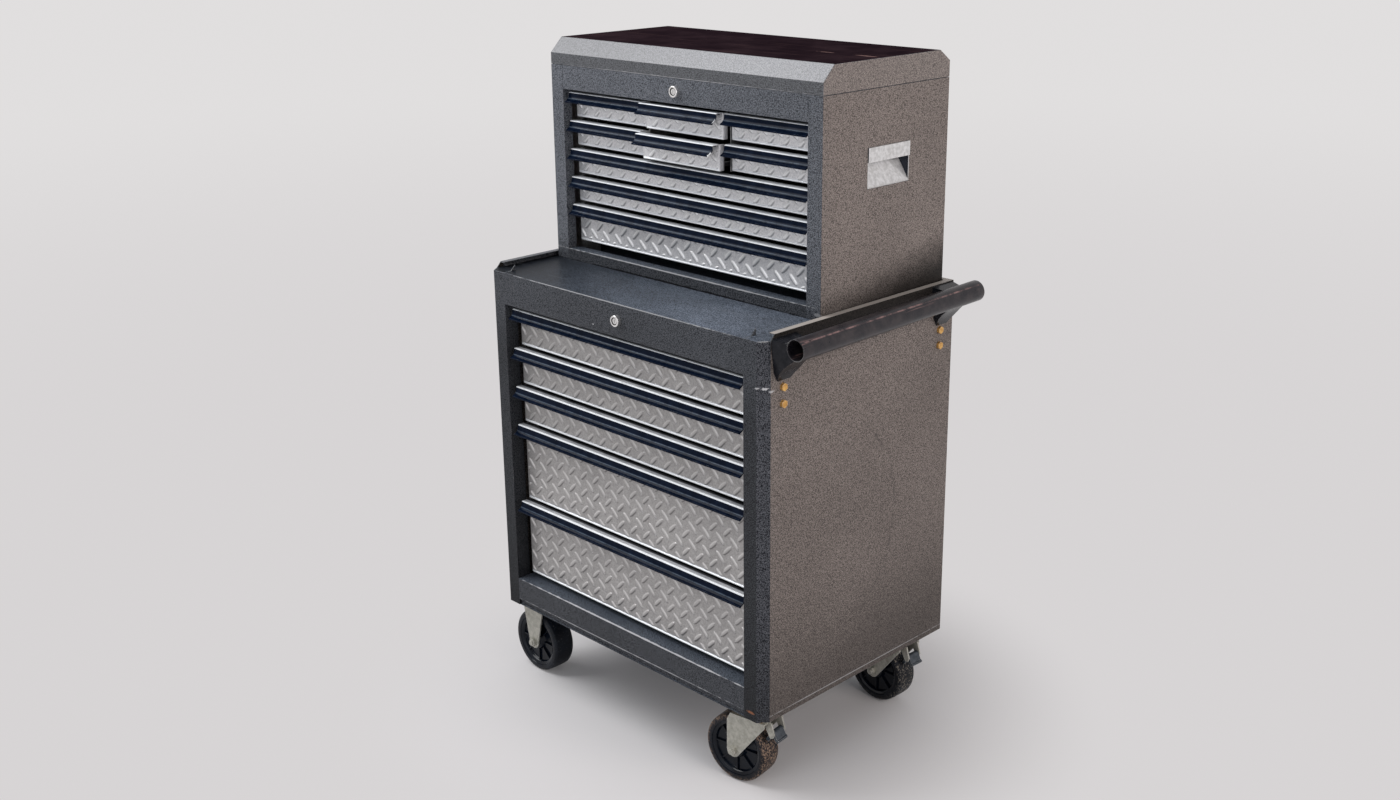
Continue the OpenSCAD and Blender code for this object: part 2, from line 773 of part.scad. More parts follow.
module chest_header() {
    color(PAINT) seated() difference() {
        along_x(2 * chest_open_x - 0.2) polygon(folded([
            [chest_front + 18, chest_opening_z + 5], [chest_front + 18, chest_opening_z],
            [chest_front, chest_opening_z], [chest_front, chest_top], [chest_front + 12, chest_top]
        ], -sheet));
        translate([0, chest_front - 1, chest_lock_z]) rotate([-90, 0, 0])
            cylinder(r = lock_body_r + 0.1, h = 10);
    }
}

module chest_base() {
    rail_z = chest_z + chest_rail_h;
    color(PAINT) seated() {
        block([-chest_inside + 0.1, chest_front + 22, chest_z],
            [chest_inside - 0.1, chest_back - sheet - 0.1, chest_z + sheet]);
        along_x(2 * chest_open_x - 0.2) polygon(folded([
            [chest_front + 40, chest_z], [chest_front, chest_z], [chest_front, rail_z],
            [chest_front + 24, rail_z], [chest_front + 24, rail_z - 6]
        ], -sheet));
    }
}

module chest_till() {
    z = till_z;
    x = chest_inside - 0.1;
    y0 = chest_front + 21;
    y1 = chest_back - sheet - 0.1;
    color(PAINT) seated() difference() {
        block([-x, y0, z], [x, y1, z + 8]);
        block([-x + sheet, y0 + sheet, z + sheet], [x - sheet, y1 - sheet, z + 10]);
    }
}

module chest_slide_racks() {
    y0 = chest_plate_y + 18;
    y1 = chest_plate_y + chest_box_d - 2;
    partition_x = small_pitch / 2;
    color(ZINC) seated() both_sides() {
        uprights(chest_inside - 0.1, [y0, y0 + 212], chest_z + sheet, till_z);
        for (id = ["1a", "2a", "3", "4", "5"])
            translate([0, 0, chest_row_top(chest_row(id))])
                slide_channel(drawer_w, y0, y1, -chest_pitch(id) / 2, chest_slide_h);
        // partition between the small drawers, with a channel on each face
        translate([partition_x - 0.5, chest_plate_y + 3, chest_row_top(3) + 3])
            cube([1, chest_box_d - 6, chest_opening_z - chest_row_top(3)]);
        for (row = [1, 2])
            translate([0, 0, chest_row_top(row)]) {
                slide_channel(small_w, y0, y1, -chest_shallow_pitch / 2, chest_slide_h);
                translate([small_pitch, 0, 0]) mirror([1, 0, 0])
                    slide_channel(small_w, y0, y1, -chest_shallow_pitch / 2, chest_slide_h);
            }
    }
}

// A pressed pocket: grip bar over its upper half, plate sloping in from below
module side_handle() {
    depth = 23;
    half = grip_w / 2 - 0.2;
    lo = grip_bottom + 0.2;
    hi = grip_top - 0.2;
    inner = hx - depth;
    along_y(2 * half) polygon(folded([
        [hx - 6, hi - 16], [hx - 6, hi - 24], [hx + 2, hi - 24], [hx + 2, hi],
        [inner, hi], [inner, lo + 36], [hx, lo], [hx + 0.6, lo + 1]
    ], sheet));
    for (s = [-1, 1])
        translate([0, s * (half - sheet / 2), 0]) along_y(sheet)
            polygon([[hx, lo], [hx, hi], [inner, hi], [inner, lo + 36]]);
    // flange against the inside of the panel
    difference() {
        block([chest_inside - sheet, -half - 9, lo - 9], [chest_inside, half + 9, hi + 9]);
        block([chest_inside - 3, -half + 0.1, lo + 2], [chest_inside + 3, half - 0.1, hi - 0.1]);
    }
}

module chest_side_handles() {
    color(ZINC) seated() both_sides() translate([0, grip_y, 0]) side_handle();
}

// Section of the lid: straight front, sloped edge, flat top and a lower rear slope
function lid_section() = [
    [chest_front, chest_top + lid_gap], [chest_front, top - lid_front_slope],
    [chest_front + lid_front_slope, top], [chest_back - 27, top],
    [chest_back, top - 19], [chest_back, chest_top + lid_gap]
];

module chest_lid() {
    color(PAINT) seated() {
        along_x(chest_w - 0.2) polygon(folded(lid_section(), -sheet));
        both_sides() translate([hx - sheet / 2, 0, 0]) along_x(sheet) polygon(lid_section());
    }
}

// Knuckles along the hinge, every second one, starting with the first or second
module knuckles(first, bore) {
    for (i = [first : 2 : 4])
        translate([hinge_split[i] + 0.3, hinge_y, hinge_z]) rotate([0, 90, 0])
            difference() {
                cylinder(r = hinge_r, h = 99.4);
                translate([0, 0, -1]) cylinder(r = bore, h = 102);
            }
}

module lid_hinge_body_leaf() {
    color(ZINC) seated() {
        block([-hinge_half, chest_back, chest_top - 30], [hinge_half, chest_back + 1.2, hinge_z - hinge_r - 0.6]);
        for (i = [0 : 2 : 4])
            block([hinge_split[i] + 0.3, chest_back, hinge_z - hinge_r - 1],
                [hinge_split[i] + 99.7, chest_back + 1.2, hinge_z - 1]);
        knuckles(0, hinge_pin_r - 0.2);
        translate([-hinge_half - 1, hinge_y, hinge_z]) rotate([0, 90, 0])
            cylinder(r = hinge_pin_r, h = 2 * hinge_half + 2);
    }
}

module lid_hinge_lid_leaf() {
    color(ZINC) seated() {
        block([-hinge_half, chest_back, hinge_z + hinge_r + 0.6], [hinge_half, chest_back + 1.2, top - 22]);
        for (i = [1 : 2 : 3])
            block([hinge_split[i] + 0.3, chest_back, hinge_z + 1],
                [hinge_split[i] + 99.7, chest_back + 1.2, hinge_z + hinge_r + 1]);
        knuckles(1, hinge_pin_r + running_gap);
    }
}

// ---------------------------------------------------------------- assembly

cab_shell();
cab_tray();
cab_base();
cab_slide_racks();
push_handle_tube();
push_handle_brackets();
m8_bolts();
rigid_caster_forks();
rigid_caster_axles();
swivel_caster_plates();
lock_barrels();
cab_lock_plug();
swivel_fork(swivel_spots()[0], front_heading);  // swivel_fork_front
swivel_fork(swivel_spots()[1], rear_heading);  // swivel_fork_rear
swivel_axle(swivel_spots()[0], front_heading);  // swivel_axle_front
swivel_axle(swivel_spots()[1], rear_heading);  // swivel_axle_rear
brake_pedal(swivel_spots()[0], front_heading);  // brake_pedal_front
brake_pedal(swivel_spots()[1], rear_heading);  // brake_pedal_rear
caster_wheel(rigid_spots()[0], 0, 0);  // wheel_front_left
caster_wheel(rigid_spots()[1], 0, 0);  // wheel_rear_left
caster_wheel(swivel_spots()[0], front_heading, trail);  // wheel_front_right
caster_wheel(swivel_spots()[1], rear_heading, trail);  // wheel_rear_right
chest_shell();
chest_header();
chest_base();
chest_till();
chest_slide_racks();
chest_side_handles();
lid_hinge_body_leaf();
lid_hinge_lid_leaf();
chest_lid();
chest_lock_plug();
for (n = CAB_DRAWERS) {
    cab_drawer_box(n);
    cab_drawer_front(n);
}
for (id = CHEST_DRAWERS) {
    chest_drawer_box(id);
    chest_drawer_front(id);
}
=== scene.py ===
"""Machinist's tool chest: a nine-drawer top chest on a five-drawer roller cabinet.

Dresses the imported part. The drawer fronts, their black trims, the wheels and the
push handle are surfaces worked out with numpy. The painted sheet metal and the
caster pressings are copies of their CAD solids with softened edges, and every
piece gets a procedural finish: hammer-tone paint, tread plate, zinc or rubber.
"""

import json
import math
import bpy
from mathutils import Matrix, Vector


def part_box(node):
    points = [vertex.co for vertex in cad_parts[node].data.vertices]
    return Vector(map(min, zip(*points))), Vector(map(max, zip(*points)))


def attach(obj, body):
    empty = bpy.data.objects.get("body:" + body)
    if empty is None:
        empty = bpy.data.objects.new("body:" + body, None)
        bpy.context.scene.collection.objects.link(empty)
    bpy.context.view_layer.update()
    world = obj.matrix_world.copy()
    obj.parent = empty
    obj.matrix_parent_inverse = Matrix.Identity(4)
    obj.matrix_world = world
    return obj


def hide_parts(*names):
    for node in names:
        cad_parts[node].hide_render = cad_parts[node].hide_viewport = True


bl_info = {
    "name": "Tool Chest Finishes",
    "version": (1, 0, 0),
    "blender": (4, 5, 0),
    "location": "View3D > Sidebar > Tool Chest",
    "description": "Dresses the packed tool chest with drawer fronts, wheels and finishes",
    "category": "Object",
}

import bmesh
import bpy
import numpy as np
from bpy.props import FloatProperty, FloatVectorProperty, IntProperty, PointerProperty
from mathutils import Euler, Vector

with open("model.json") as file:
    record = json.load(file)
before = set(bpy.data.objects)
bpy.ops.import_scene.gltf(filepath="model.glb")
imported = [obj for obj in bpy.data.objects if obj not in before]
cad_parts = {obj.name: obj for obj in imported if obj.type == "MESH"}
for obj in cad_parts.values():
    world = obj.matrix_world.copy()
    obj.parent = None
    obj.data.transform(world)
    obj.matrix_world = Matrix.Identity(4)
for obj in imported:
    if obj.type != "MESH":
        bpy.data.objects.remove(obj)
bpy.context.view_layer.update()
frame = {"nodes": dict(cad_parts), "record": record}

RECORD = frame["record"]
BODY_OF = {
    node: body for body, nodes in RECORD["behaviour"]["bodies"].items() for node in nodes
}
JOINT = {joint["name"]: joint for joint in RECORD["behaviour"]["joints"]}

CABINET_DRAWERS = ["cab_drawer_%d" % n for n in range(1, 6)]
CHEST_DRAWERS = ["chest_drawer_" + n for n in ("1a", "1b", "1c", "2a", "2b", "2c", "3", "4", "5")]


# ------------------------------------------------------------------ settings


def colour_setting(name, description, default):
    """A colour property with its name, description and default."""
    return FloatVectorProperty(
        name=name, description=description, subtype="COLOR", size=4, default=default, min=0, max=1
    )


def length_setting(name, description, default):
    """A length property in metres with its name, description and default."""
    return FloatProperty(
        name=name, description=description, subtype="DISTANCE", unit="LENGTH", default=default
    )


class PaintSettings(bpy.types.PropertyGroup):
    """Colours and grain of the hammer-tone paint and its wear, with a lighter, warmer copy of its colour for
    the sides, which is painted light.
    """

    front_low: colour_setting(
        "Front, hollows", "Paint on fronts, in the hollows of the grain",
        (0.014, 0.0155, 0.019, 1),
    )
    front_high: colour_setting(
        "Front, crests", "Paint on fronts, on the crests of the grain",
        (0.108, 0.113, 0.126, 1),
    )
    corner_low: colour_setting(
        "Corner, hollows", "Paint on the bevelled corners, in the hollows",
        (0.005, 0.006, 0.009, 1),
    )
    corner_high: colour_setting(
        "Corner, crests", "Paint on the bevelled corners, on the crests",
        (0.120, 0.125, 0.143, 1),
    )
    # Painted light: the side colours are a lighter, warmer copy of the front paint, for the sides that catch
    # more light.
    side_low: colour_setting(
        "Side, hollows", "Faded paint on side panels, in the hollows",
        (0.064, 0.055, 0.051, 1),
    )
    side_high: colour_setting(
        "Side, crests", "Faded paint on side panels, on the crests",
        (0.282, 0.242, 0.224, 1),
    )
    top_low: colour_setting(
        "Tray, hollows", "Paint on upward faces, in the hollows",
        (0.018, 0.023, 0.034, 1),
    )
    top_high: colour_setting(
        "Tray, crests", "Paint on upward faces, on the crests",
        (0.225, 0.260, 0.320, 1),
    )
    lid: colour_setting("Lid top", "Dull dark coat on top of the lid", (0.014, 0.008, 0.011, 1))
    pitch: length_setting("Grain pitch", "Distance from one raised spot of the paint to the next", 0.0019)
    wear: length_setting("Wear width", "How far the paint is rubbed back from an edge", 0.0012)


class PlateSettings(bpy.types.PropertyGroup):
    """Sizes of a drawer's tread-plate front."""

    pitch: length_setting("Pattern pitch", "Distance between raised bars that lean the same way", 0.0333)
    bar_length: length_setting("Bar length", "Length of one raised bar", 0.0262)
    bar_width: length_setting("Bar width", "Width of one raised bar at its middle", 0.0078)
    bar_height: length_setting("Bar height", "How far a bar stands out of the plate", 0.0016)
    step: length_setting("Grid step", "Spacing of the plate's points", 0.0015)
    sheet: length_setting("Sheet", "Thickness of the plate", 0.0014)
    fold: length_setting("Fold radius", "Radius of the folds down the plate's sides", 0.003)
    bead: length_setting("Bead radius", "Radius of the rolled bottom edge", 0.0018)


class PullSettings(bpy.types.PropertyGroup):
    """Sizes of the ledge and of the black trim along its front edge."""

    depth: length_setting("Depth", "From the plate to the lip of the trim", 0.027)
    height: length_setting("Height", "From the ledge to the lip of the trim", 0.0186)
    ledge: length_setting("Ledge", "From the plate to the front edge of the grey ledge", 0.015)
    wall: length_setting("Wall", "Thickness of the trim", 0.002)


class WheelSettings(bpy.types.PropertyGroup):
    """Sizes of the turned pieces: the caster wheels, the push handle and the lock collars."""

    radius: length_setting("Wheel radius", "Radius of the wheel over its tread", 0.0625)
    width: length_setting("Wheel width", "Width of the wheel over its tread", 0.045)
    bore: length_setting("Wheel bore", "Radius of the hole for the axle", 0.00505)
    ribs: IntProperty(
        name="Ribs", description="Number of ribs across each face of the wheel", default=8, min=0, max=16
    )
    tube_wall: length_setting("Tube wall", "Thickness of the push handle's tube", 0.0015)
    lock_radius: length_setting("Lock radius", "Radius of a lock's collar", 0.010)
    lock_reach: length_setting("Lock reach", "How far a lock's collar stands out", 0.008)


class StageSettings(bpy.types.PropertyGroup):
    """Camera, lamps and backdrop."""

    place: FloatVectorProperty(
        name="Camera place",
        description="Where the camera stands",
        subtype="TRANSLATION",
        unit="LENGTH",
        size=3,
        default=(1.87318, -1.89200, 1.50682),
    )
    turn: FloatProperty(
        name="Azimuth",
        description="Direction of the camera round the chest, from its front",
        subtype="ANGLE",
        unit="ROTATION",
        default=math.radians(45.014),
    )
    tilt: FloatProperty(
        name="Elevation",
        description="How far the camera looks down",
        subtype="ANGLE",
        unit="ROTATION",
        default=math.radians(17.345),
    )
    roll: FloatProperty(
        name="Roll",
        description="How far the camera leans to one side",
        subtype="ANGLE",
        unit="ROTATION",
        default=math.radians(-0.464),
    )
    lens: FloatProperty(
        name="Lens",
        description="Focal length in millimetres",
        default=39.65,
        min=10,
        max=200,
    )
    shift: FloatVectorProperty(
        name="Shift",
        description="Shift of the lens across and up, in sensor widths",
        size=2,
        default=(-0.0115, -0.0311),
    )
    backdrop: FloatVectorProperty(
        name="Backdrop",
        description="Colour of the floor and of everything behind it",
        subtype="COLOR",
        size=4,
        default=(0.68, 0.66, 0.665, 1),
    )
    horizon: colour_setting("Horizon", "Colour of the backdrop far behind the chest", (0.75, 0.735, 0.735, 1))
    sky: FloatProperty(
        name="Sky",
        description="Strength of the even light from all round",
        default=0.42,
        min=0,
        max=2,
    )


# ------------------------------------------------------------------- meshes


def grid_faces(rows, columns, close_rows=False, close_columns=False):
    """Quads of a grid whose points are numbered row by row.

    Each quad takes a point, the one below it, the one below and to the right
    and the one to the right, so it faces along (step down) x (step right).
    """
    down = np.arange(rows if close_rows else rows - 1)
    right = np.arange(columns if close_columns else columns - 1)
    i, j = np.meshgrid(down, right, indexing="ij")
    i_next, j_next = (i + 1) % rows, (j + 1) % columns
    corners = [i * columns + j, i_next * columns + j, i_next * columns + j_next, i * columns + j_next]
    return np.stack(corners, axis=-1).reshape(-1, 4)


def join_shells(*shells):
    """Points and faces of several shells as one: each shell's numbers are moved on past the last."""
    points, faces, first = [], [], 0
    for shell_points, shell_faces in shells:
        points.append(shell_points)
        faces += [[int(k) + first for k in face] for face in shell_faces]
        first += len(shell_points)
    return np.concatenate(points), faces


def arc(centre, radius, start, end, steps):
    """Points of an arc: centre + radius * (cos a, sin a), a going evenly from start to end in degrees."""
    a = np.radians(np.linspace(start, end, steps + 1))
    return np.asarray(centre) + radius * np.stack([np.cos(a), np.sin(a)], axis=-1)


def anticlockwise(profile):
    """The profile in the order whose shoelace area, half the sum of x*y' - x'*y, is positive."""
    after = np.roll(profile, -1, axis=0)
    area = np.sum(profile[:, 0] * after[:, 1] - after[:, 0] * profile[:, 1])
    return profile if area > 0 else profile[::-1]


def carried_along_x(profile, x0, x1):
    """A closed profile in (y, z), carried straight from x0 to x1 and closed at both ends."""
    profile = anticlockwise(profile)
    count = len(profile)
    x = np.array([x0, x1])
    points = np.empty((count, 2, 3))
    points[:, :, 0] = x[None, :]
    points[:, :, 1:] = profile[:, None, :]
    sides = grid_faces(count, 2, close_rows=True)
    ring = np.arange(count) * 2
    return points.reshape(-1, 3), list(sides) + [ring[::-1], ring + 1]


def turned(profile, centre, axis, steps):
    """A closed profile in (radius, distance along the axis), turned round the axis.

    A point is centre + distance * axis + radius * (cos a * e1 + sin a * e2),
    where e1 and e2 are square to the axis and to each other.
    """
    axis = np.asarray(axis, float)
    axis = axis / np.linalg.norm(axis)
    helper = np.array([0.0, 0.0, 1.0])
    e1 = np.cross(axis, helper)
    e1 = e1 / np.linalg.norm(e1)
    e2 = np.cross(axis, e1)
    a = np.linspace(0, 2 * np.pi, steps, endpoint=False)
    round_axis = np.cos(a)[:, None] * e1 + np.sin(a)[:, None] * e2
    radius, along = profile[:, 0], profile[:, 1]
    points = (
        np.asarray(centre)
        + along[:, None, None] * axis
        + radius[:, None, None] * round_axis[None, :, :]
    )
    faces = grid_faces(len(profile), steps, close_rows=True, close_columns=True)
    return points.reshape(-1, 3), list(faces)


def bar_shell(centre, half_sizes, directions):
    """A six-sided bar: its corners are centre +- half size * direction, along three square directions."""
    signs = np.array([[x, y, z] for x in (-1, 1) for y in (-1, 1) for z in (-1, 1)], float)
    points = np.asarray(centre) + (signs * half_sizes) @ np.asarray(directions)
    faces = [[0, 1, 3, 2], [4, 6, 7, 5], [0, 4, 5, 1], [2, 3, 7, 6], [0, 2, 6, 4], [1, 5, 7, 3]]
    return points, faces


def new_piece(name, points, faces, outward=False, smooth_angle=35):
    """An object of these points and faces at the origin, smooth where faces meet within the angle.

    With outward, the faces of its closed shells are turned to look outwards.
    """
    mesh = bpy.data.meshes.new(name)
    mesh.from_pydata(np.asarray(points).tolist(), [], [list(map(int, face)) for face in faces])
    if outward:
        work = bmesh.new()
        work.from_mesh(mesh)
        bmesh.ops.recalc_face_normals(work, faces=work.faces)
        work.to_mesh(mesh)
        work.free()
    mesh.shade_smooth()
    mesh.set_sharp_from_angle(angle=math.radians(smooth_angle))
    piece = bpy.data.objects.new(name, mesh)
    bpy.context.scene.collection.objects.link(piece)
    return piece


def mark_points(piece, name, values):
    """Keeps a value from 0 to 1 at each point of the piece, for its material to read."""
    kept = piece.data.attributes.new(name, "FLOAT", "POINT")
    kept.data.foreach_set("value", np.asarray(values, np.float32).ravel())


def stand_for(piece, material, *nodes):
    """Gives the piece its finish and lets it stand for CAD nodes and ride on the body of the first."""
    piece.data.materials.clear()
    piece.data.materials.append(material)
    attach(piece, BODY_OF[nodes[0]])
    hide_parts(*nodes)
    return piece


def round_edges(piece, radius, segments=2, angle=35):
    """Rounds the edges that turn by more than the angle."""
    bevel = piece.modifiers.new("Rounded edges", "BEVEL")
    bevel.width = radius
    bevel.segments = segments
    bevel.limit_method = "ANGLE"
    bevel.angle_limit = math.radians(angle)
    bevel.use_clamp_overlap = True
    bevel.harden_normals = True
    return piece


def softened(node, name, material, radius=0.0005, segments=2):
    """A copy of a CAD node with its loose triangles merged into flat faces and its edges rounded."""
    mesh = frame["nodes"][node].data.copy()
    mesh.name = name
    if "custom_normal" in mesh.attributes:
        mesh.attributes.remove(mesh.attributes["custom_normal"])
    work = bmesh.new()
    work.from_mesh(mesh)
    bmesh.ops.remove_doubles(work, verts=work.verts, dist=1e-6)
    bmesh.ops.dissolve_limit(
        work, angle_limit=math.radians(0.4), verts=work.verts, edges=work.edges
    )
    work.to_mesh(mesh)
    work.free()
    mesh.shade_smooth()
    mesh.set_sharp_from_angle(angle=math.radians(35))
    piece = bpy.data.objects.new(name, mesh)
    bpy.context.scene.collection.objects.link(piece)
    round_edges(piece, radius, segments)
    return stand_for(piece, material, node)


# -------------------------------------------------------------- shader nodes


def put(tree, kind, values=None, **attributes):
    """A new node: attributes are set, and values go to its inputs, where an output is linked."""
    made = tree.nodes.new(kind)
    for name, value in attributes.items():
        setattr(made, name, value)
    for socket, value in (values or {}).items():
        if isinstance(value, bpy.types.NodeSocket):
            tree.links.new(value, made.inputs[socket])
        else:
            made.inputs[socket].default_value = value
    return made


def compute(tree, operation, a, b=0.0, clamp=False):
    """Output of a Math node on a and b."""
    return put(tree, "ShaderNodeMath", {0: a, 1: b}, operation=operation, use_clamp=clamp).outputs[0]


def product(tree, a, b):
    """a times b."""
    return compute(tree, "MULTIPLY", a, b)


def blend_colours(tree, factor, a, b, blend_type="MIX"):
    """Output of a colour Mix node from a to b."""
    made = put(
        tree, "ShaderNodeMix", {0: factor, 6: a, 7: b}, data_type="RGBA", blend_type=blend_type
    )
    return made.outputs[2]


def spread(tree, value, low, high, to_low=0.0, to_high=1.0, smooth=True):
    """Output of a Map Range node that takes low..high to to_low..to_high."""
    return put(
        tree,
        "ShaderNodeMapRange",
        {0: value, 1: low, 2: high, 3: to_low, 4: to_high},
        interpolation_type="SMOOTHSTEP" if smooth else "LINEAR",
    ).outputs[0]


def noise(tree, vector, scale, detail=2.0, roughness=0.5, distortion=0.0):
    """Factor output of a Noise texture."""
    values = {
        "Vector": vector,
        "Scale": scale,
        "Detail": detail,
        "Roughness": roughness,
        "Distortion": distortion,
    }
    return put(tree, "ShaderNodeTexNoise", values).outputs[0]


def object_place(tree):
    """Object coordinates, which are the place on the chest in metres."""
    return tree.nodes.new("ShaderNodeTexCoord").outputs["Object"]


def new_group(name, inputs, outputs):
    """An empty node group: inputs are (name, socket kind, default), outputs are (name, socket kind)."""
    tree = bpy.data.node_groups.new(name, "ShaderNodeTree")
    for label, kind, default in inputs:
        socket = tree.interface.new_socket(label, in_out="INPUT", socket_type=kind)
        socket.default_value = default
    for label, kind in outputs:
        tree.interface.new_socket(label, in_out="OUTPUT", socket_type=kind)
    return tree, tree.nodes.new("NodeGroupInput"), tree.nodes.new("NodeGroupOutput")


def hammer_grain_group():
    """Hammer grain: rounded cells of the given pitch, broken up by a finer noise."""
    tree, given, result = new_group(
        "Hammer grain",
        [("Pitch", "NodeSocketFloat", 0.003)],
        [("Speckle", "NodeSocketFloat"), ("Height", "NodeSocketFloat")],
    )
    place = object_place(tree)
    scale = compute(tree, "DIVIDE", 1.0, given.outputs["Pitch"])
    cells = put(
        tree, "ShaderNodeTexVoronoi", {"Vector": place, "Scale": scale}, feature="SMOOTH_F1"
    ).outputs["Distance"]
    blobs = noise(tree, place, product(tree, scale, 1.6), detail=2.0, roughness=0.5)
    mound = compute(tree, "SUBTRACT", 1.0, cells)
    height = compute(tree, "ADD", product(tree, mound, 0.4), product(tree, blobs, 0.8))
    speckle = spread(tree, height, 0.5, 0.78)
    tree.links.new(speckle, result.inputs["Speckle"])
    tree.links.new(height, result.inputs["Height"])
    return tree


def edge_wear_group():
    """Edge wear: where the rounded normal leaves the true one, broken up by noise."""
    tree, given, result = new_group(
        "Edge wear",
        [("Width", "NodeSocketFloat", 0.001), ("Amount", "NodeSocketFloat", 0.5)],
        [("Mask", "NodeSocketFloat")],
    )
    place = object_place(tree)
    soft = put(tree, "ShaderNodeBevel", {"Radius": given.outputs["Width"]}, samples=4).outputs[0]
    true = tree.nodes.new("ShaderNodeNewGeometry").outputs["Normal"]
    same = put(tree, "ShaderNodeVectorMath", {0: soft, 1: true}, operation="DOT_PRODUCT").outputs["Value"]
    turn = spread(tree, same, 0.995, 0.8)
    patches = noise(tree, place, 38.0, detail=4.0, roughness=0.65)
    kept = compute(tree, "ADD", patches, compute(tree, "SUBTRACT", given.outputs["Amount"], 1.0))
    tree.links.new(
        product(tree, turn, spread(tree, kept, 0.0, 0.12)), result.inputs["Mask"]
    )
    return tree


def dust_group():
    """Dust: thicker where the surface looks up in its own piece, in soft patches."""
    tree, given, result = new_group(
        "Settled dust",
        [("Amount", "NodeSocketFloat", 0.3)],
        [("Mask", "NodeSocketFloat")],
    )
    where = tree.nodes.new("ShaderNodeTexCoord")
    up = put(tree, "ShaderNodeSeparateXYZ", {0: where.outputs["Normal"]}).outputs["Z"]
    patches = noise(tree, where.outputs["Object"], 9.0, detail=5.0, roughness=0.6)
    amount = product(tree, given.outputs["Amount"], spread(tree, patches, 0.3, 0.75))
    tree.links.new(
        product(tree, amount, spread(tree, up, 0.5, 0.95)), result.inputs["Mask"]
    )
    return tree


def wear_and_light_spot_group():
    """One spot: an ellipsoid about a centre with a ragged edge, for wear and also for painted highlights and
    a painted shadow.
    """
    tree, given, result = new_group(
        "Spot of wear and painted light",
        [
            ("Centre", "NodeSocketVector", (0, 0, 0)),
            ("Reach", "NodeSocketVector", (0.01, 0.01, 0.01)),
            ("Breakup", "NodeSocketFloat", 120.0),
        ],
        [("Mask", "NodeSocketFloat")],
    )
    place = object_place(tree)
    away = put(
        tree, "ShaderNodeVectorMath", {0: place, 1: given.outputs["Centre"]}, operation="SUBTRACT"
    ).outputs["Vector"]
    scaled = put(
        tree, "ShaderNodeVectorMath", {0: away, 1: given.outputs["Reach"]}, operation="DIVIDE"
    ).outputs["Vector"]
    distance = put(
        tree, "ShaderNodeVectorMath", {0: scaled}, operation="LENGTH"
    ).outputs["Value"]
    ragged = noise(tree, place, given.outputs["Breakup"], detail=4.0, roughness=0.7)
    edge = compute(tree, "ADD", distance, product(tree, ragged, 1.4))
    tree.links.new(spread(tree, edge, 1.55, 1.25), result.inputs["Mask"])
    return tree


def scratch_group():
    """Scratches: thin streaks of a noise that is stretched along one axis."""
    tree, given, result = new_group(
        "Fine scratches",
        [
            ("Stretch", "NodeSocketVector", (6, 300, 300)),
            ("Amount", "NodeSocketFloat", 0.3),
        ],
        [("Mask", "NodeSocketFloat")],
    )
    stretched = put(
        tree,
        "ShaderNodeVectorMath",
        {0: object_place(tree), 1: given.outputs["Stretch"]},
        operation="MULTIPLY",
    ).outputs["Vector"]
    streaks = noise(tree, stretched, 1.0, detail=2.0, roughness=0.6, distortion=0.4)
    tree.links.new(
        product(tree, spread(tree, streaks, 0.62, 0.72), given.outputs["Amount"]),
        result.inputs["Mask"],
    )
    return tree


GROUP_MAKERS = {
    "Hammer grain": hammer_grain_group,
    "Edge wear": edge_wear_group,
    "Settled dust": dust_group,
    "Spot of wear and painted light": wear_and_light_spot_group,
    "Fine scratches": scratch_group,
}


def effect(tree, name, **values):
    """Places one of the shared effects in a material with its own values."""
    shared = bpy.data.node_groups.get(name) or GROUP_MAKERS[name]()
    placed = tree.nodes.new("ShaderNodeGroup")
    placed.node_tree = shared
    for socket, value in values.items():
        placed.inputs[socket].default_value = value
    return placed.outputs


def new_material(name):
    """A material with a Principled BSDF, and its tree and shader."""
    made = bpy.data.materials.new(name)
    made.use_nodes = True
    return made, made.node_tree, made.node_tree.nodes["Principled BSDF"]


def finish_with(tree, shader, colour, roughness, height=None, bump=0.3, distance=0.0005):
    """Joins a finish to the shader: its colour, roughness and the height of its grain."""
    tree.links.new(colour, shader.inputs["Base Color"])
    tree.links.new(roughness, shader.inputs["Roughness"])
    if height is not None:
        relief = put(
            tree, "ShaderNodeBump", {"Strength": bump, "Distance": distance, "Height": height}
        )
        tree.links.new(relief.outputs[0], shader.inputs["Normal"])


def add_spots(tree, colour, spots):
    """Lays spots of wear and of painted light over a colour. A spot is (centre, reach, breakup, colour,
    strength).
    """
    for centre, reach, breakup, spot_colour, strength in spots:
        mask = effect(tree, "Spot of wear and painted light", Centre=centre, Reach=reach, Breakup=breakup)["Mask"]
        colour = blend_colours(tree, product(tree, mask, strength), colour, spot_colour)
    return colour


# ---------------------------------------------------------------- materials

STEEL_WEAR_AND_HIGHLIGHT = (0.42, 0.42, 0.43, 1)
PALE_WEAR_AND_HIGHLIGHT = (0.62, 0.62, 0.64, 1)
RUST = (0.30, 0.12, 0.06, 1)
GRIME = (0.10, 0.075, 0.055, 1)

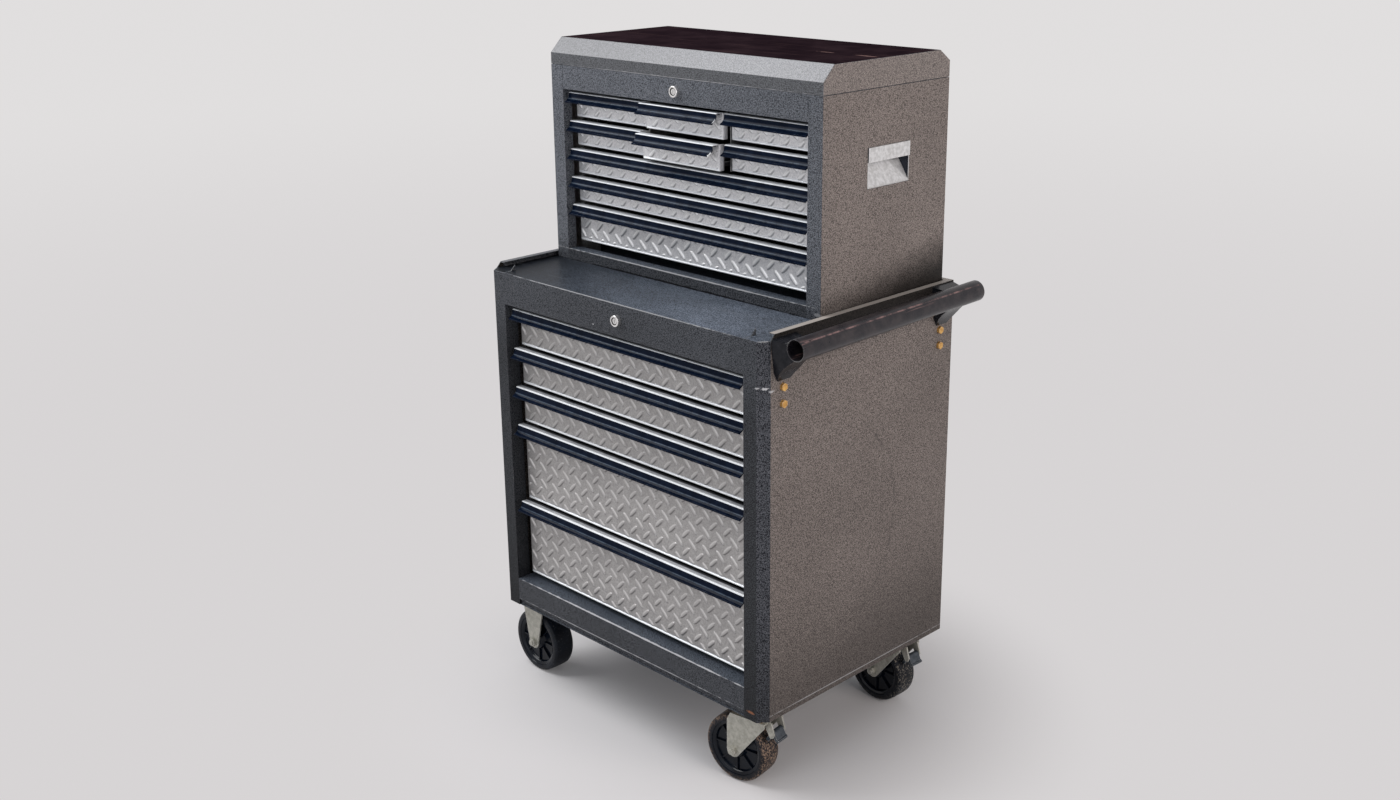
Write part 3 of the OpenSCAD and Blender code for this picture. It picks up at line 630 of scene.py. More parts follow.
# A spot is (centre, reach, breakup, colour, strength); one that reaches far along an edge is a thin line. The
# pale lines along front top edges are painted highlights, and the near-black line under the chest's front is
# a painted shadow.
CABINET_SPOTS = [
    ((0.309, -0.2400, 0.7432), (0.005, 0.006, 0.0022), 230.0, PALE_WEAR_AND_HIGHLIGHT, 0.6),
    ((0.3185, -0.2322, 0.7418), (0.008, 0.010, 0.0036), 210.0, PALE_WEAR_AND_HIGHLIGHT, 0.8),
    ((0.3225, -0.2212, 0.7365), (0.004, 0.009, 0.0026), 240.0, PALE_WEAR_AND_HIGHLIGHT, 0.6),
    ((0.2950, -0.2400, 0.1690), (0.012, 0.004, 0.0034), 260.0, RUST, 0.7),
    ((0.3130, -0.2312, 0.8190), (0.012, 0.012, 0.0016), 260.0, STEEL_WEAR_AND_HIGHLIGHT, 0.8),
    ((0.3222, 0.0000, 0.1640), (0.003, 0.330, 0.0014), 70.0, STEEL_WEAR_AND_HIGHLIGHT, 0.6),
]
# The second is a painted highlight: a pale line along the tray's front top edge.
TRAY_SPOTS = [
    ((-0.0780, -0.2400, 0.7710), (0.0020, 0.004, 0.0018), 100.0, PALE_WEAR_AND_HIGHLIGHT, 0.8),
    ((-0.0228, -0.2400, 0.8188), (0.420, 0.004, 0.0016), 70.0, STEEL_WEAR_AND_HIGHLIGHT, 0.7),
]
# The first is a painted highlight: a pale line along the sill's front top edge. The second is a pale line
# along its bottom edge.
BASE_SPOTS = [
    ((-0.0228, -0.2400, 0.2098), (0.420, 0.004, 0.0016), 60.0, PALE_WEAR_AND_HIGHLIGHT, 0.8),
    ((-0.0228, -0.2360, 0.1680), (0.420, 0.012, 0.0014), 70.0, STEEL_WEAR_AND_HIGHLIGHT, 0.7),
]
# The second is a painted shadow: a near-black line along the foot of the chest's front, where it sits on the
# tray. The third is a painted highlight: a pale line along the top front edge of the chest's bottom rail.
CHEST_SPOTS = [
    ((0.3000, -0.0880, 0.8290), (0.010, 0.006, 0.0040), 260.0, STEEL_WEAR_AND_HIGHLIGHT, 0.4),
    ((-0.0228, -0.0880, 0.8190), (0.420, 0.006, 0.0045), 40.0, (0.004, 0.004, 0.005, 1), 0.9),
    ((-0.0228, -0.0880, 0.8398), (0.400, 0.004, 0.0016), 70.0, STEEL_WEAR_AND_HIGHLIGHT, 0.8),
]
LID_SPOTS = [
    ((0.2730, 0.0560, 1.2270), (0.030, 0.006, 0.002), 160.0, (0.36, 0.22, 0.20, 1), 0.5),
    ((0.1850, 0.0570, 1.2270), (0.025, 0.005, 0.002), 160.0, (0.36, 0.22, 0.20, 1), 0.4),
]
# A painted highlight: a pale line along the lid's lower front edge.
LID_EDGE_SPOTS = [
    ((-0.0228, -0.0880, 1.1806), (0.420, 0.006, 0.0014), 70.0, PALE_WEAR_AND_HIGHLIGHT, 0.7),
]
# The faint curved scuff on the side panel: middle and radius in Y and Z
SIDE_SCUFF = ((0.32, -0.117, 0.452), 0.214)
# X of the chest's middle
MIDDLE_X = -0.02275


def facing(tree, direction, start, end):
    """How squarely the surface of a piece looks along a direction, from 0 below start to 1 above end."""
    normal = tree.nodes.new("ShaderNodeTexCoord").outputs["Normal"]
    along = put(
        tree, "ShaderNodeVectorMath", {0: normal, 1: direction}, operation="DOT_PRODUCT"
    ).outputs["Value"]
    return spread(tree, along, start, end)


def either(tree, a, b):
    """The larger of two masks."""
    return compute(tree, "MAXIMUM", a, b)


def side_scuff(tree):
    """Mask of the curved scuff: a thin broken ring about SIDE_SCUFF, on the panel with the push handle."""
    centre, radius = SIDE_SCUFF
    place = object_place(tree)
    away = put(
        tree, "ShaderNodeVectorMath", {0: place, 1: centre}, operation="SUBTRACT"
    ).outputs["Vector"]
    parts = put(tree, "ShaderNodeSeparateXYZ", {0: away}).outputs
    flat = put(tree, "ShaderNodeCombineXYZ", {1: parts["Y"], 2: parts["Z"]}).outputs[0]
    distance = put(tree, "ShaderNodeVectorMath", {0: flat}, operation="LENGTH").outputs["Value"]
    off_ring = compute(tree, "ABSOLUTE", compute(tree, "SUBTRACT", distance, radius))
    ring = spread(tree, off_ring, 0.005, 0.001)
    near = product(tree, spread(tree, parts["X"], -0.01, 0.0), spread(tree, parts["Y"], 0.10, 0.16))
    broken = spread(tree, noise(tree, place, 22.0, detail=3.0), 0.4, 0.6)
    return product(tree, product(tree, ring, near), broken)


def placed_along(tree, axis):
    """Object coordinate along X, Y or Z."""
    return put(tree, "ShaderNodeSeparateXYZ", {0: object_place(tree)}).outputs[axis]


def lifted(colour, lift):
    """The colour times lift, opaque."""
    return tuple(min(c * lift, 1.0) for c in colour[:3]) + (1,)


def shaded_by(tree, colour, shade):
    """The colour times a grey value."""
    grey = put(tree, "ShaderNodeCombineColor", {0: shade, 1: shade, 2: shade}).outputs[0]
    return blend_colours(tree, 1.0, colour, grey, "MULTIPLY")


def hammer_paint(
    name, paint, spots=(), front_lift=1.0, side_lift=1.0, outer=0.0,
    head=None, foot=None, scuffed=False, rim=None,
):
    """Hammer-tone enamel: dark in front, sparkling on the bevels, and lighter and warm
    on the outer sides and the back, a lit copy of the paint that is painted light.

    front_lift and side_lift multiply the colours there. outer is how far from
    the middle the outer side panels begin. head is (height, height, shade):
    the front darkens down to that shade between the heights, as painted shade.
    foot is (height, height, shade, lean): the whole piece does, and its heights
    rise with Y by lean; this too is painted shade. rim is the height above which
    the upward faces of the right-hand flange are paler, and under which the outer
    side panels are darkened as a painted shadow.
    """
    material, tree, shader = new_material(name)
    grain = effect(tree, "Hammer grain", Pitch=paint.pitch)
    x, y, z = [placed_along(tree, axis) for axis in "XYZ"]

    def speckled(low, high, lift=1.0):
        return blend_colours(tree, grain["Speckle"], lifted(low, lift), lifted(high, lift))

    sideways = either(tree, facing(tree, (1, 0, 0), 0.84, 0.97), facing(tree, (-1, 0, 0), 0.84, 0.97))
    off_middle = compute(tree, "ABSOLUTE", compute(tree, "SUBTRACT", x, MIDDLE_X))
    outside = product(tree, sideways, spread(tree, off_middle, outer - 0.001, outer))
    corners = either(
        tree, facing(tree, (0.707, -0.707, 0), 0.9, 0.97), facing(tree, (-0.707, -0.707, 0), 0.9, 0.97)
    )
    upwards = facing(tree, (0, 0, 1), 0.8, 0.97)
    colour = speckled(paint.front_low, paint.front_high, front_lift)
    # Painted shade: the front darkens towards the bottom, where less light falls.
    if head is not None:
        colour = shaded_by(tree, colour, spread(tree, z, head[0], head[1], head[2], 1.0))
    colour = blend_colours(tree, corners, colour, speckled(paint.corner_low, paint.corner_high))
    # Painted light: the outer sides and the back take the lighter, warmer copy of the paint.
    colour = blend_colours(
        tree, either(tree, outside, facing(tree, (0, 1, 0), 0.84, 0.97)), colour,
        speckled(paint.side_low, paint.side_high, side_lift),
    )
    colour = blend_colours(tree, upwards, colour, speckled(paint.top_low, paint.top_high, 0.6))
    shade = spread(tree, noise(tree, object_place(tree), 3.5, detail=3.0), 0.3, 0.7, 0.90, 1.08)
    # Painted shade: the piece darkens towards its bottom, near the floor and the tray, and higher up towards
    # the back by lean.
    if foot is not None:
        low, high, darkest, lean = foot
        ragged = product(tree, noise(tree, object_place(tree), 30.0, detail=5.0), 0.03)
        level = compute(tree, "SUBTRACT", compute(tree, "ADD", z, ragged), product(tree, y, lean))
        shade = product(tree, shade, spread(tree, level, low, high, darkest, 1.0))
    # Painted shadow: the outer panels just below the rim are darkened.
    if rim is not None:
        under = product(tree, outside, spread(tree, z, rim - 0.040, rim - 0.016, 0.0, 0.86))
        shade = product(tree, shade, compute(tree, "SUBTRACT", 1.0, under))
    colour = shaded_by(tree, colour, shade)
    # The upward faces of the rim on the right are made pale.
    if rim is not None:
        pale_rim = product(tree, upwards, spread(tree, z, rim - 0.001, rim))
        pale_rim = product(tree, pale_rim, spread(tree, x, 0.20, 0.25, 0.15, 1.0))
        colour = blend_colours(tree, pale_rim, colour, (0.40, 0.36, 0.33, 1))
    if scuffed:
        colour = blend_colours(tree, product(tree, side_scuff(tree), 0.4), colour, (0.03, 0.03, 0.03, 1))
    wear = effect(tree, "Edge wear", Width=paint.wear, Amount=0.44)["Mask"]
    colour = blend_colours(tree, product(tree, wear, 0.7), colour, STEEL_WEAR_AND_HIGHLIGHT)
    dust = effect(tree, "Settled dust", Amount=0.05)["Mask"]
    colour = blend_colours(tree, dust, colour, (0.30, 0.29, 0.28, 1))
    colour = add_spots(tree, colour, spots)
    roughness = spread(tree, grain["Speckle"], 0.0, 1.0, 0.40, 0.5)
    finish_with(tree, shader, colour, roughness, grain["Height"], bump=0.3, distance=0.0004)
    shader.inputs["Specular IOR Level"].default_value = 0.12
    return material


def tray_paint(paint):
    """The tray's blue-black enamel: fine sparkle and soft pale clouds, with painted shade that darkens it
    towards the left, so that a painted sheen stays in the middle and on the right.
    """
    material, tree, shader = new_material("Tray paint")
    grain = effect(tree, "Hammer grain", Pitch=paint.pitch)
    colour = blend_colours(tree, grain["Speckle"], tuple(paint.top_low), tuple(paint.top_high))
    clouds = noise(tree, object_place(tree), 5.0, detail=4.0, roughness=0.6)
    clouds = spread(tree, clouds, 0.35, 0.7, 0.75, 1.2)
    # Painted shade: darker towards the left end, leaving a painted sheen in the middle and on the right.
    shade_to_left = spread(tree, placed_along(tree, "X"), -0.42, 0.16, 0.06, 1.0)
    colour = shaded_by(tree, colour, product(tree, clouds, shade_to_left))
    scratches = effect(tree, "Fine scratches", Stretch=(9, 200, 200), Amount=0.12)["Mask"]
    colour = blend_colours(tree, scratches, colour, (0.30, 0.31, 0.34, 1))
    wear = effect(tree, "Edge wear", Width=paint.wear, Amount=0.6)["Mask"]
    colour = blend_colours(tree, product(tree, wear, 0.7), colour, STEEL_WEAR_AND_HIGHLIGHT)
    roughness = spread(tree, grain["Speckle"], 0.0, 1.0, 0.30, 0.42)
    finish_with(tree, shader, colour, roughness, grain["Height"], bump=0.2, distance=0.0004)
    shader.inputs["Specular IOR Level"].default_value = 0.03
    return material


def lid_side_paint(paint):
    """The lid's hammer-tone sides, lighter and warm on the outer sides, with a much lighter copy of the paint
    on the long front slopes, darker to the left: both are painted light.
    """
    material, tree, shader = new_material("Lid side paint")
    grain = effect(tree, "Hammer grain", Pitch=paint.pitch)
    front = blend_colours(tree, grain["Speckle"], (0.034, 0.035, 0.040, 1), (0.15, 0.155, 0.165, 1))
    # Painted light: the outer sides take a lighter, warmer copy of the paint.
    side = blend_colours(
        tree, grain["Speckle"], lifted(paint.side_low, 1.15), lifted(paint.side_high, 1.15)
    )
    # Painted light: the long front slopes take a much lighter copy, darker to the left.
    lit_chamfer = blend_colours(tree, grain["Speckle"], (0.17, 0.17, 0.18, 1), (0.33, 0.33, 0.345, 1))
    lit_chamfer = shaded_by(tree, lit_chamfer, spread(tree, placed_along(tree, "X"), -0.35, 0.2, 0.78, 1.06))
    sideways = either(tree, facing(tree, (1, 0, 0), 0.84, 0.97), facing(tree, (-1, 0, 0), 0.84, 0.97))
    colour = blend_colours(tree, sideways, front, side)
    colour = blend_colours(tree, facing(tree, (0, -0.707, 0.707), 0.9, 0.985), colour, lit_chamfer)
    wear = effect(tree, "Edge wear", Width=paint.wear, Amount=0.55)["Mask"]
    colour = blend_colours(tree, product(tree, wear, 0.8), colour, PALE_WEAR_AND_HIGHLIGHT)
    colour = add_spots(tree, colour, LID_EDGE_SPOTS)
    roughness = spread(tree, grain["Speckle"], 0.0, 1.0, 0.34, 0.44)
    finish_with(tree, shader, colour, roughness, grain["Height"], bump=0.25, distance=0.0004)
    shader.inputs["Specular IOR Level"].default_value = 0.35
    return material


def lid_top_paint(paint):
    """The lid's top: a dull dark maroon coat with cloudy patches and fine pinkish scratches."""
    material, tree, shader = new_material("Lid top paint")
    place = object_place(tree)
    patches = noise(tree, place, 14.0, detail=5.0, roughness=0.6)
    colour = blend_colours(
        tree, spread(tree, patches, 0.35, 0.75), tuple(paint.lid), (0.029, 0.017, 0.021, 1)
    )
    scratches = effect(tree, "Fine scratches", Stretch=(5, 260, 260), Amount=0.22)["Mask"]
    colour = blend_colours(tree, scratches, colour, (0.24, 0.14, 0.13, 1))
    colour = add_spots(tree, colour, LID_SPOTS)
    roughness = spread(tree, patches, 0.3, 0.8, 0.5, 0.7)
    finish_with(tree, shader, colour, roughness, patches, bump=0.1, distance=0.0004)
    shader.inputs["Specular IOR Level"].default_value = 0.0
    return material


def tread_plate(name, low, high):
    """Satin plate with raised bars: painted shade on their lower flanks and a painted highlight on their
    upper flanks, as if lit from above, tops lighter with wear, and a near-white painted highlight along the
    rolled bottom edge.
    """
    material, tree, shader = new_material(name)
    place = object_place(tree)
    raised = put(tree, "ShaderNodeAttribute", attribute_name="raised").outputs["Fac"]
    highlight_band = put(tree, "ShaderNodeAttribute", attribute_name="highlight_band").outputs["Fac"]
    mottle = noise(tree, place, 420.0, detail=3.0, roughness=0.6)
    clouds = noise(tree, place, 11.0, detail=4.0, roughness=0.6)
    colour = blend_colours(tree, spread(tree, mottle, 0.3, 0.7), low, high)
    colour = blend_colours(tree, spread(tree, clouds, 0.4, 0.75, 0.0, 0.3), colour, lifted(low, 0.7))
    # Painted shade on the bars' lower flanks.
    grime_and_flank_shade = product(tree, facing(tree, (0, -0.76, -0.65), 0.78, 0.89), spread(tree, raised, 0.0, 0.2))
    colour = blend_colours(tree, product(tree, grime_and_flank_shade, 0.75), colour, lifted(low, 0.35))
    # Painted highlight on the bars' upper flanks; their tops are lighter with wear.
    lit_flank_and_top_wear = product(tree, facing(tree, (0, -0.76, 0.65), 0.78, 0.89), spread(tree, raised, 0.0, 0.2))
    lit_flank_and_top_wear = either(tree, lit_flank_and_top_wear, spread(tree, raised, 0.6, 1.0, 0.0, 0.5))
    colour = blend_colours(tree, product(tree, lit_flank_and_top_wear, 0.8), colour, lifted(high, 1.35))
    # Painted highlight along the rolled bottom edge.
    colour = blend_colours(tree, highlight_band, colour, (0.85, 0.87, 0.90, 1))
    wear = effect(tree, "Edge wear", Width=0.0012, Amount=0.7)["Mask"]
    colour = blend_colours(tree, wear, colour, (0.80, 0.82, 0.85, 1))
    roughness = spread(tree, clouds, 0.3, 0.8, 0.32, 0.44)
    finish_with(tree, shader, colour, roughness, mottle, bump=0.10, distance=0.0004)
    shader.inputs["Metallic"].default_value = 0.35
    return material


def ledge_zinc(name, low, high, grime_and_gap_shade):
    """Pale grey zinc of the ledges: scuffed along its length, with a near-white painted highlight along its
    rounded front edge and a painted shadow at the back, under the dark gap below the plate above.
    """
    material, tree, shader = new_material(name)
    highlight_band = put(tree, "ShaderNodeAttribute", attribute_name="highlight_band").outputs["Fac"]
    clouds = noise(tree, object_place(tree), 26.0, detail=4.0, roughness=0.6)
    colour = blend_colours(tree, spread(tree, clouds, 0.3, 0.7), low, high)
    scratches = effect(tree, "Fine scratches", Stretch=(7, 300, 300), Amount=0.6)["Mask"]
    colour = blend_colours(tree, scratches, colour, lifted(low, 0.5))
    # Painted shadow at the back of the ledge, where the gap under the plate above is dark; the last argument
    # sets its strength.
    back = put(tree, "ShaderNodeAttribute", attribute_name="back").outputs["Fac"]
    colour = blend_colours(tree, product(tree, back, grime_and_gap_shade), colour, (0.006, 0.006, 0.008, 1))
    # Painted highlight along the rounded front edge.
    colour = blend_colours(tree, highlight_band, colour, (0.94, 0.95, 0.97, 1))
    roughness = spread(tree, clouds, 0.3, 0.8, 0.30, 0.42)
    finish_with(tree, shader, colour, roughness, clouds, bump=0.05, distance=0.0004)
    shader.inputs["Metallic"].default_value = 0.15
    return material


PULL_SPOTS = [
    ((0.0715, -0.1055, 1.0640), (0.003, 0.012, 0.006), 300.0, (0.8, 0.8, 0.8, 1), 0.9),
    ((0.0715, -0.0935, 1.1180), (0.003, 0.010, 0.005), 300.0, (0.7, 0.7, 0.72, 1), 0.6),
]


def black_pull():
    """Navy-black gloss enamel with edge wear: a near-white painted highlight along its top edge and a faint
    painted highlight across its wall.
    """
    material, tree, shader = new_material("Black pull enamel")
    place = object_place(tree)
    highlight_band = put(tree, "ShaderNodeAttribute", attribute_name="highlight_band").outputs["Fac"]
    blotches = noise(tree, place, 60.0, detail=4.0, roughness=0.6)
    colour = blend_colours(
        tree, spread(tree, blotches, 0.35, 0.7),
        (0.002, 0.005, 0.014, 1), (0.005, 0.010, 0.024, 1),
    )
    wear = effect(tree, "Edge wear", Width=0.0008, Amount=0.46)["Mask"]
    colour = blend_colours(tree, product(tree, wear, 0.8), colour, (0.34, 0.38, 0.44, 1))
    colour = add_spots(tree, colour, PULL_SPOTS)
    # Painted highlight: a faint line across the trim's wall.
    gleam = put(tree, "ShaderNodeAttribute", attribute_name="gleam").outputs["Fac"]
    gleam = product(tree, gleam, spread(tree, blotches, 0.3, 0.6, 0.35, 0.9))
    colour = blend_colours(tree, gleam, colour, (0.10, 0.13, 0.17, 1))
    # Painted highlight along the trim's top edge.
    painted_highlight = product(tree, highlight_band, spread(tree, blotches, 0.3, 0.5, 0.75, 1.0))
    colour = blend_colours(tree, painted_highlight, colour, (0.90, 0.92, 0.95, 1))
    roughness = spread(tree, blotches, 0.2, 0.8, 0.14, 0.24)
    finish_with(tree, shader, colour, roughness, blotches, bump=0.02)
    shader.inputs["Specular IOR Level"].default_value = 0.05
    return material


def tube_enamel():
    """Black enamel on the push handle with brownish wear, and a thin pinkish painted highlight with streaks
    of it along its outer shoulder.
    """
    material, tree, shader = new_material("Handle enamel")
    place = object_place(tree)
    blotches = noise(tree, place, 34.0, detail=5.0, roughness=0.65)
    colour = blend_colours(
        tree, spread(tree, blotches, 0.35, 0.8),
        (0.012, 0.011, 0.015, 1), (0.046, 0.038, 0.040, 1),
    )
    streaks = effect(tree, "Fine scratches", Stretch=(260, 7, 260), Amount=1.0)["Mask"]
    # Painted highlight: a thin pink line and streaks along the upper outer shoulder.
    shoulder = (0.643, 0, 0.766)
    line = product(
        tree, facing(tree, shoulder, 0.995, 0.9995), spread(tree, blotches, 0.4, 0.6, 0.05, 0.7)
    )
    painted_highlight = product(tree, facing(tree, shoulder, 0.90, 0.99), product(tree, streaks, 0.45))
    colour = blend_colours(tree, either(tree, painted_highlight, line), colour, (0.36, 0.21, 0.20, 1))
    wear = effect(tree, "Edge wear", Width=0.0012, Amount=0.6)["Mask"]
    colour = blend_colours(tree, wear, colour, (0.50, 0.49, 0.48, 1))
    roughness = spread(tree, blotches, 0.2, 0.8, 0.24, 0.38)
    finish_with(tree, shader, colour, roughness, blotches, bump=0.05)
    shader.inputs["Specular IOR Level"].default_value = 0.35
    return material


def bracket_enamel():
    """Glossy black enamel on the push handle's brackets, chipped at the edges."""
    material, tree, shader = new_material("Bracket enamel")
    blotches = noise(tree, object_place(tree), 70.0, detail=4.0, roughness=0.6)
    colour = blend_colours(
        tree, spread(tree, blotches, 0.35, 0.7),
        (0.006, 0.007, 0.010, 1), (0.016, 0.016, 0.020, 1),
    )
    wear = effect(tree, "Edge wear", Width=0.001, Amount=0.5)["Mask"]
    colour = blend_colours(tree, product(tree, wear, 0.7), colour, (0.40, 0.40, 0.41, 1))
    roughness = spread(tree, blotches, 0.2, 0.8, 0.18, 0.30)
    finish_with(tree, shader, colour, roughness, blotches, bump=0.04)
    shader.inputs["Specular IOR Level"].default_value = 0.2
    return material


def plated_steel(name, low, high, metallic=0.8, roughness=(0.3, 0.5), grime=0.3, painted_shade_cheeks=False):
    """Plated pressing: mottled plating with grime in patches.

    With the cheeks option, the faces that look along Y are nearly black: a painted shade for the shadowed
    inside of a handle's pocket.
    """
    material, tree, shader = new_material(name)
    place = object_place(tree)
    spangle = noise(tree, place, 150.0, detail=4.0, roughness=0.6)
    clouds = noise(tree, place, 24.0, detail=4.0, roughness=0.6)
    colour = blend_colours(tree, spread(tree, spangle, 0.3, 0.7), low, high)
    colour = blend_colours(tree, spread(tree, clouds, 0.5, 0.8, 0.0, grime), colour, GRIME)
    wear = effect(tree, "Edge wear", Width=0.0008, Amount=0.7)["Mask"]
    colour = blend_colours(tree, wear, colour, (0.8, 0.8, 0.78, 1))
    # Painted shade: the cheeks stand for the shadowed inside of the pocket.
    if painted_shade_cheeks:
        cheeks = either(tree, facing(tree, (0, -1, 0), 0.8, 0.95), facing(tree, (0, 1, 0), 0.8, 0.95))
        colour = blend_colours(tree, cheeks, colour, (0.015, 0.02, 0.032, 1))
    shine = spread(tree, clouds, 0.3, 0.8, roughness[0], roughness[1])
    finish_with(tree, shader, colour, shine, spangle, bump=0.08, distance=0.0004)
    shader.inputs["Metallic"].default_value = metallic
    return material


def drawer_enamel():
    """Plain dark enamel inside the drawers, lightly scratched along their length."""
    material, tree, shader = new_material("Drawer enamel")
    place = object_place(tree)
    clouds = noise(tree, place, 40.0, detail=4.0)
    colour = blend_colours(
        tree, spread(tree, clouds, 0.3, 0.7),
        (0.075, 0.075, 0.08, 1), (0.12, 0.12, 0.125, 1),
    )
    scratches = effect(tree, "Fine scratches", Stretch=(300, 8, 300), Amount=0.5)["Mask"]
    colour = blend_colours(tree, scratches, colour, (0.3, 0.3, 0.3, 1))
    roughness = spread(tree, clouds, 0.3, 0.8, 0.38, 0.55)
    finish_with(tree, shader, colour, roughness, clouds, bump=0.05)
    return material


def wheel_rubber(name, scrape, amount):
    """Navy-black rubber tread with fine scraped grime on it, and a smooth glossy core with chipped edges."""
    material, tree, shader = new_material(name)
    place = object_place(tree)
    tread = put(tree, "ShaderNodeAttribute", attribute_name="tread").outputs["Fac"]
    grime_and_gap_shade = noise(tree, place, 300.0, detail=5.0, roughness=0.75)
    blotches = noise(tree, place, 30.0, detail=4.0, roughness=0.6)
    colour = blend_colours(
        tree, spread(tree, blotches, 0.3, 0.7),
        (0.001, 0.002, 0.005, 1), (0.005, 0.008, 0.014, 1),
    )
    wear = effect(tree, "Edge wear", Width=0.0008, Amount=0.42)["Mask"]
    colour = blend_colours(tree, product(tree, wear, 0.5), colour, (0.22, 0.22, 0.24, 1))
    grime_and_flank_shade = product(tree, spread(tree, grime_and_gap_shade, 0.66 - 0.2 * amount, 0.76 - 0.16 * amount), tread)
    patchy = product(tree, grime_and_flank_shade, spread(tree, blotches, 0.35, 0.6, 1.0 - 0.7 / (amount + 0.7), 1.0))
    colour = blend_colours(tree, patchy, colour, scrape)
    roughness = spread(tree, compute(tree, "ADD", tread, blotches), 0.3, 1.6, 0.12, 0.55)
    finish_with(tree, shader, colour, roughness, grime_and_gap_shade, bump=0.2, distance=0.0006)
    shader.inputs["Specular IOR Level"].default_value = 0.22
    return material


def lock_chrome():
    """Polished lock face with a few hazy patches; its recess is nearly black, a painted shade."""
    material, tree, shader = new_material("Lock chrome")
    haze = noise(tree, object_place(tree), 300.0, detail=3.0)
    recess = put(tree, "ShaderNodeAttribute", attribute_name="recess").outputs["Fac"]
    colour = blend_colours(tree, spread(tree, haze, 0.4, 0.7), (0.86, 0.85, 0.84, 1), (0.70, 0.69, 0.69, 1))
    # Painted shade: the recess is nearly black.
    colour = blend_colours(tree, recess, colour, (0.03, 0.025, 0.022, 1))
    roughness = spread(tree, haze, 0.3, 0.8, 0.12, 0.28)
    finish_with(tree, shader, colour, roughness, haze, bump=0.03)
    shader.inputs["Metallic"].default_value = 0.9
    return material


# -------------------------------------------------------------- drawer fronts


BAR_ANGLE = math.radians(45)
# Where a bar's middle falls on a plate: in X from the plate's middle, in Z from its top
BAR_PLACES = {"cab_drawer_4": (0.0225, -0.0457), "cab_drawer_5": (0.0155, -0.0453)}


def bar_relief(x, z, plate, lean, x_phase, z_phase):
    """Relief of the bars that lean one way, from 0 to 1.

    The bars stand on a square lattice of the pattern's pitch, at BAR_ANGLE to
    the plate's length. In a bar's own directions, s along it and t across it,
    its half width is
    (bar width / 2) * (1 - (2 s / bar length)^4), and the relief falls from the
    middle to that edge as sin(pi / 2 * (1 - |t| / half width)).
    """
    dx = (x - x_phase + plate.pitch / 2) % plate.pitch - plate.pitch / 2
    dz = (z - z_phase + plate.pitch / 2) % plate.pitch - plate.pitch / 2
    along = dx * math.cos(BAR_ANGLE) + lean * dz * math.sin(BAR_ANGLE)
    across = dx * math.sin(BAR_ANGLE) - lean * dz * math.cos(BAR_ANGLE)
    half = plate.bar_width / 2 * (1 - (2 * along / plate.bar_length) ** 4)
    inside = np.clip(1 - np.abs(across) / np.maximum(half, 1e-6), 0, 1) * (half > 0)
    return np.sin(np.pi / 2 * np.clip(inside * 1.5, 0, 1))


def plate_shell(width, height, plate, fold_depth, bar_place):
    """Front of a drawer's plate, its face at y = 0 and its top at z = 0.

    One parameter runs along the plan: up the left side fold, round its corner,
    across the face and back along the right fold. The other runs down the
    plate and round the rolled bottom edge. A point is the plan's point moved
    outwards by the bead and by the bars' relief.
    Returns the points, the faces and the relief at each point.
    """
    r, half = plate.fold, width / 2
    across = np.linspace(-half + r, half - r, max(2, int((width - 2 * r) / plate.step)))
    corner = np.radians(np.linspace(180, 270, 7))
    leg = np.linspace(fold_depth, r, 4)[:-1]
    x = np.concatenate([
        np.full(3, -half), -half + r + r * np.cos(corner)[:-1], across,
        half - r + r * np.cos(corner + np.pi / 2)[1:], np.full(3, half),
    ])
    y = np.concatenate([
        leg, r + r * np.sin(corner)[:-1], np.zeros(len(across)),
        r + r * np.sin(corner + np.pi / 2)[1:], leg[::-1],
    ])
    out = np.stack([
        np.concatenate([
            [-1] * 3, np.cos(corner)[:-1], np.zeros(len(across)), np.cos(corner + np.pi / 2)[1:], [1] * 3
        ]),
        np.concatenate([
            [0] * 3, np.sin(corner)[:-1], -np.ones(len(across)), np.sin(corner + np.pi / 2)[1:], [0] * 3
        ]),
    ], axis=-1)
    bead_angle = np.radians(np.linspace(0, 180, 9))
    straight = np.linspace(-0.0008, -height + 2 * plate.bead, max(2, int(height / plate.step)))
    z = np.concatenate([straight, -height + plate.bead * (1 + np.cos(bead_angle))[1:]])
    bead = np.concatenate([np.zeros(len(straight)), plate.bead * np.sin(bead_angle)[1:]])
    inner = np.clip((half - r - np.abs(x)) / 0.003, 0, 1)
    bar_x, bar_z = bar_place
    relief = np.maximum(
        bar_relief(x[None, :], z[:, None], plate, -1, bar_x, bar_z),
        bar_relief(x[None, :], z[:, None], plate, 1, bar_x + plate.pitch / 2, bar_z + plate.pitch / 2),
    )
    above_bead = np.clip((z + height - 2 * plate.bead) / 0.002, 0, 1)
    relief = relief * inner[None, :] * above_bead[:, None]
    offset = bead[:, None] * inner[None, :] + plate.bar_height * relief
    points = np.empty((len(z), len(x), 3))
    points[:, :, 0] = x[None, :] + out[None, :, 0] * offset
    points[:, :, 1] = y[None, :] + out[None, :, 1] * offset
    points[:, :, 2] = z[:, None]
    return points.reshape(-1, 3), grid_faces(len(z), len(x)), relief.ravel()


def ledge_profile(plate, pull):
    """Section of the ledge in (y, z): the plate's sheet folded forward, with a rounded front edge."""
    front, t = -pull.ledge + 0.0001, plate.sheet
    return np.concatenate([
        [[t, -0.0022], [t, -0.0012], [0.0009, -0.0003], [0.0, 0.0]],
        [[-0.0045, 0.0], [-0.0058, 0.0], [front + 0.0035, 0.0]],
        arc((front + t / 2, -t / 2), t / 2, 90, 270, 8),
        [[-0.0022, -t], [-0.0006, -0.0020]],
    ])


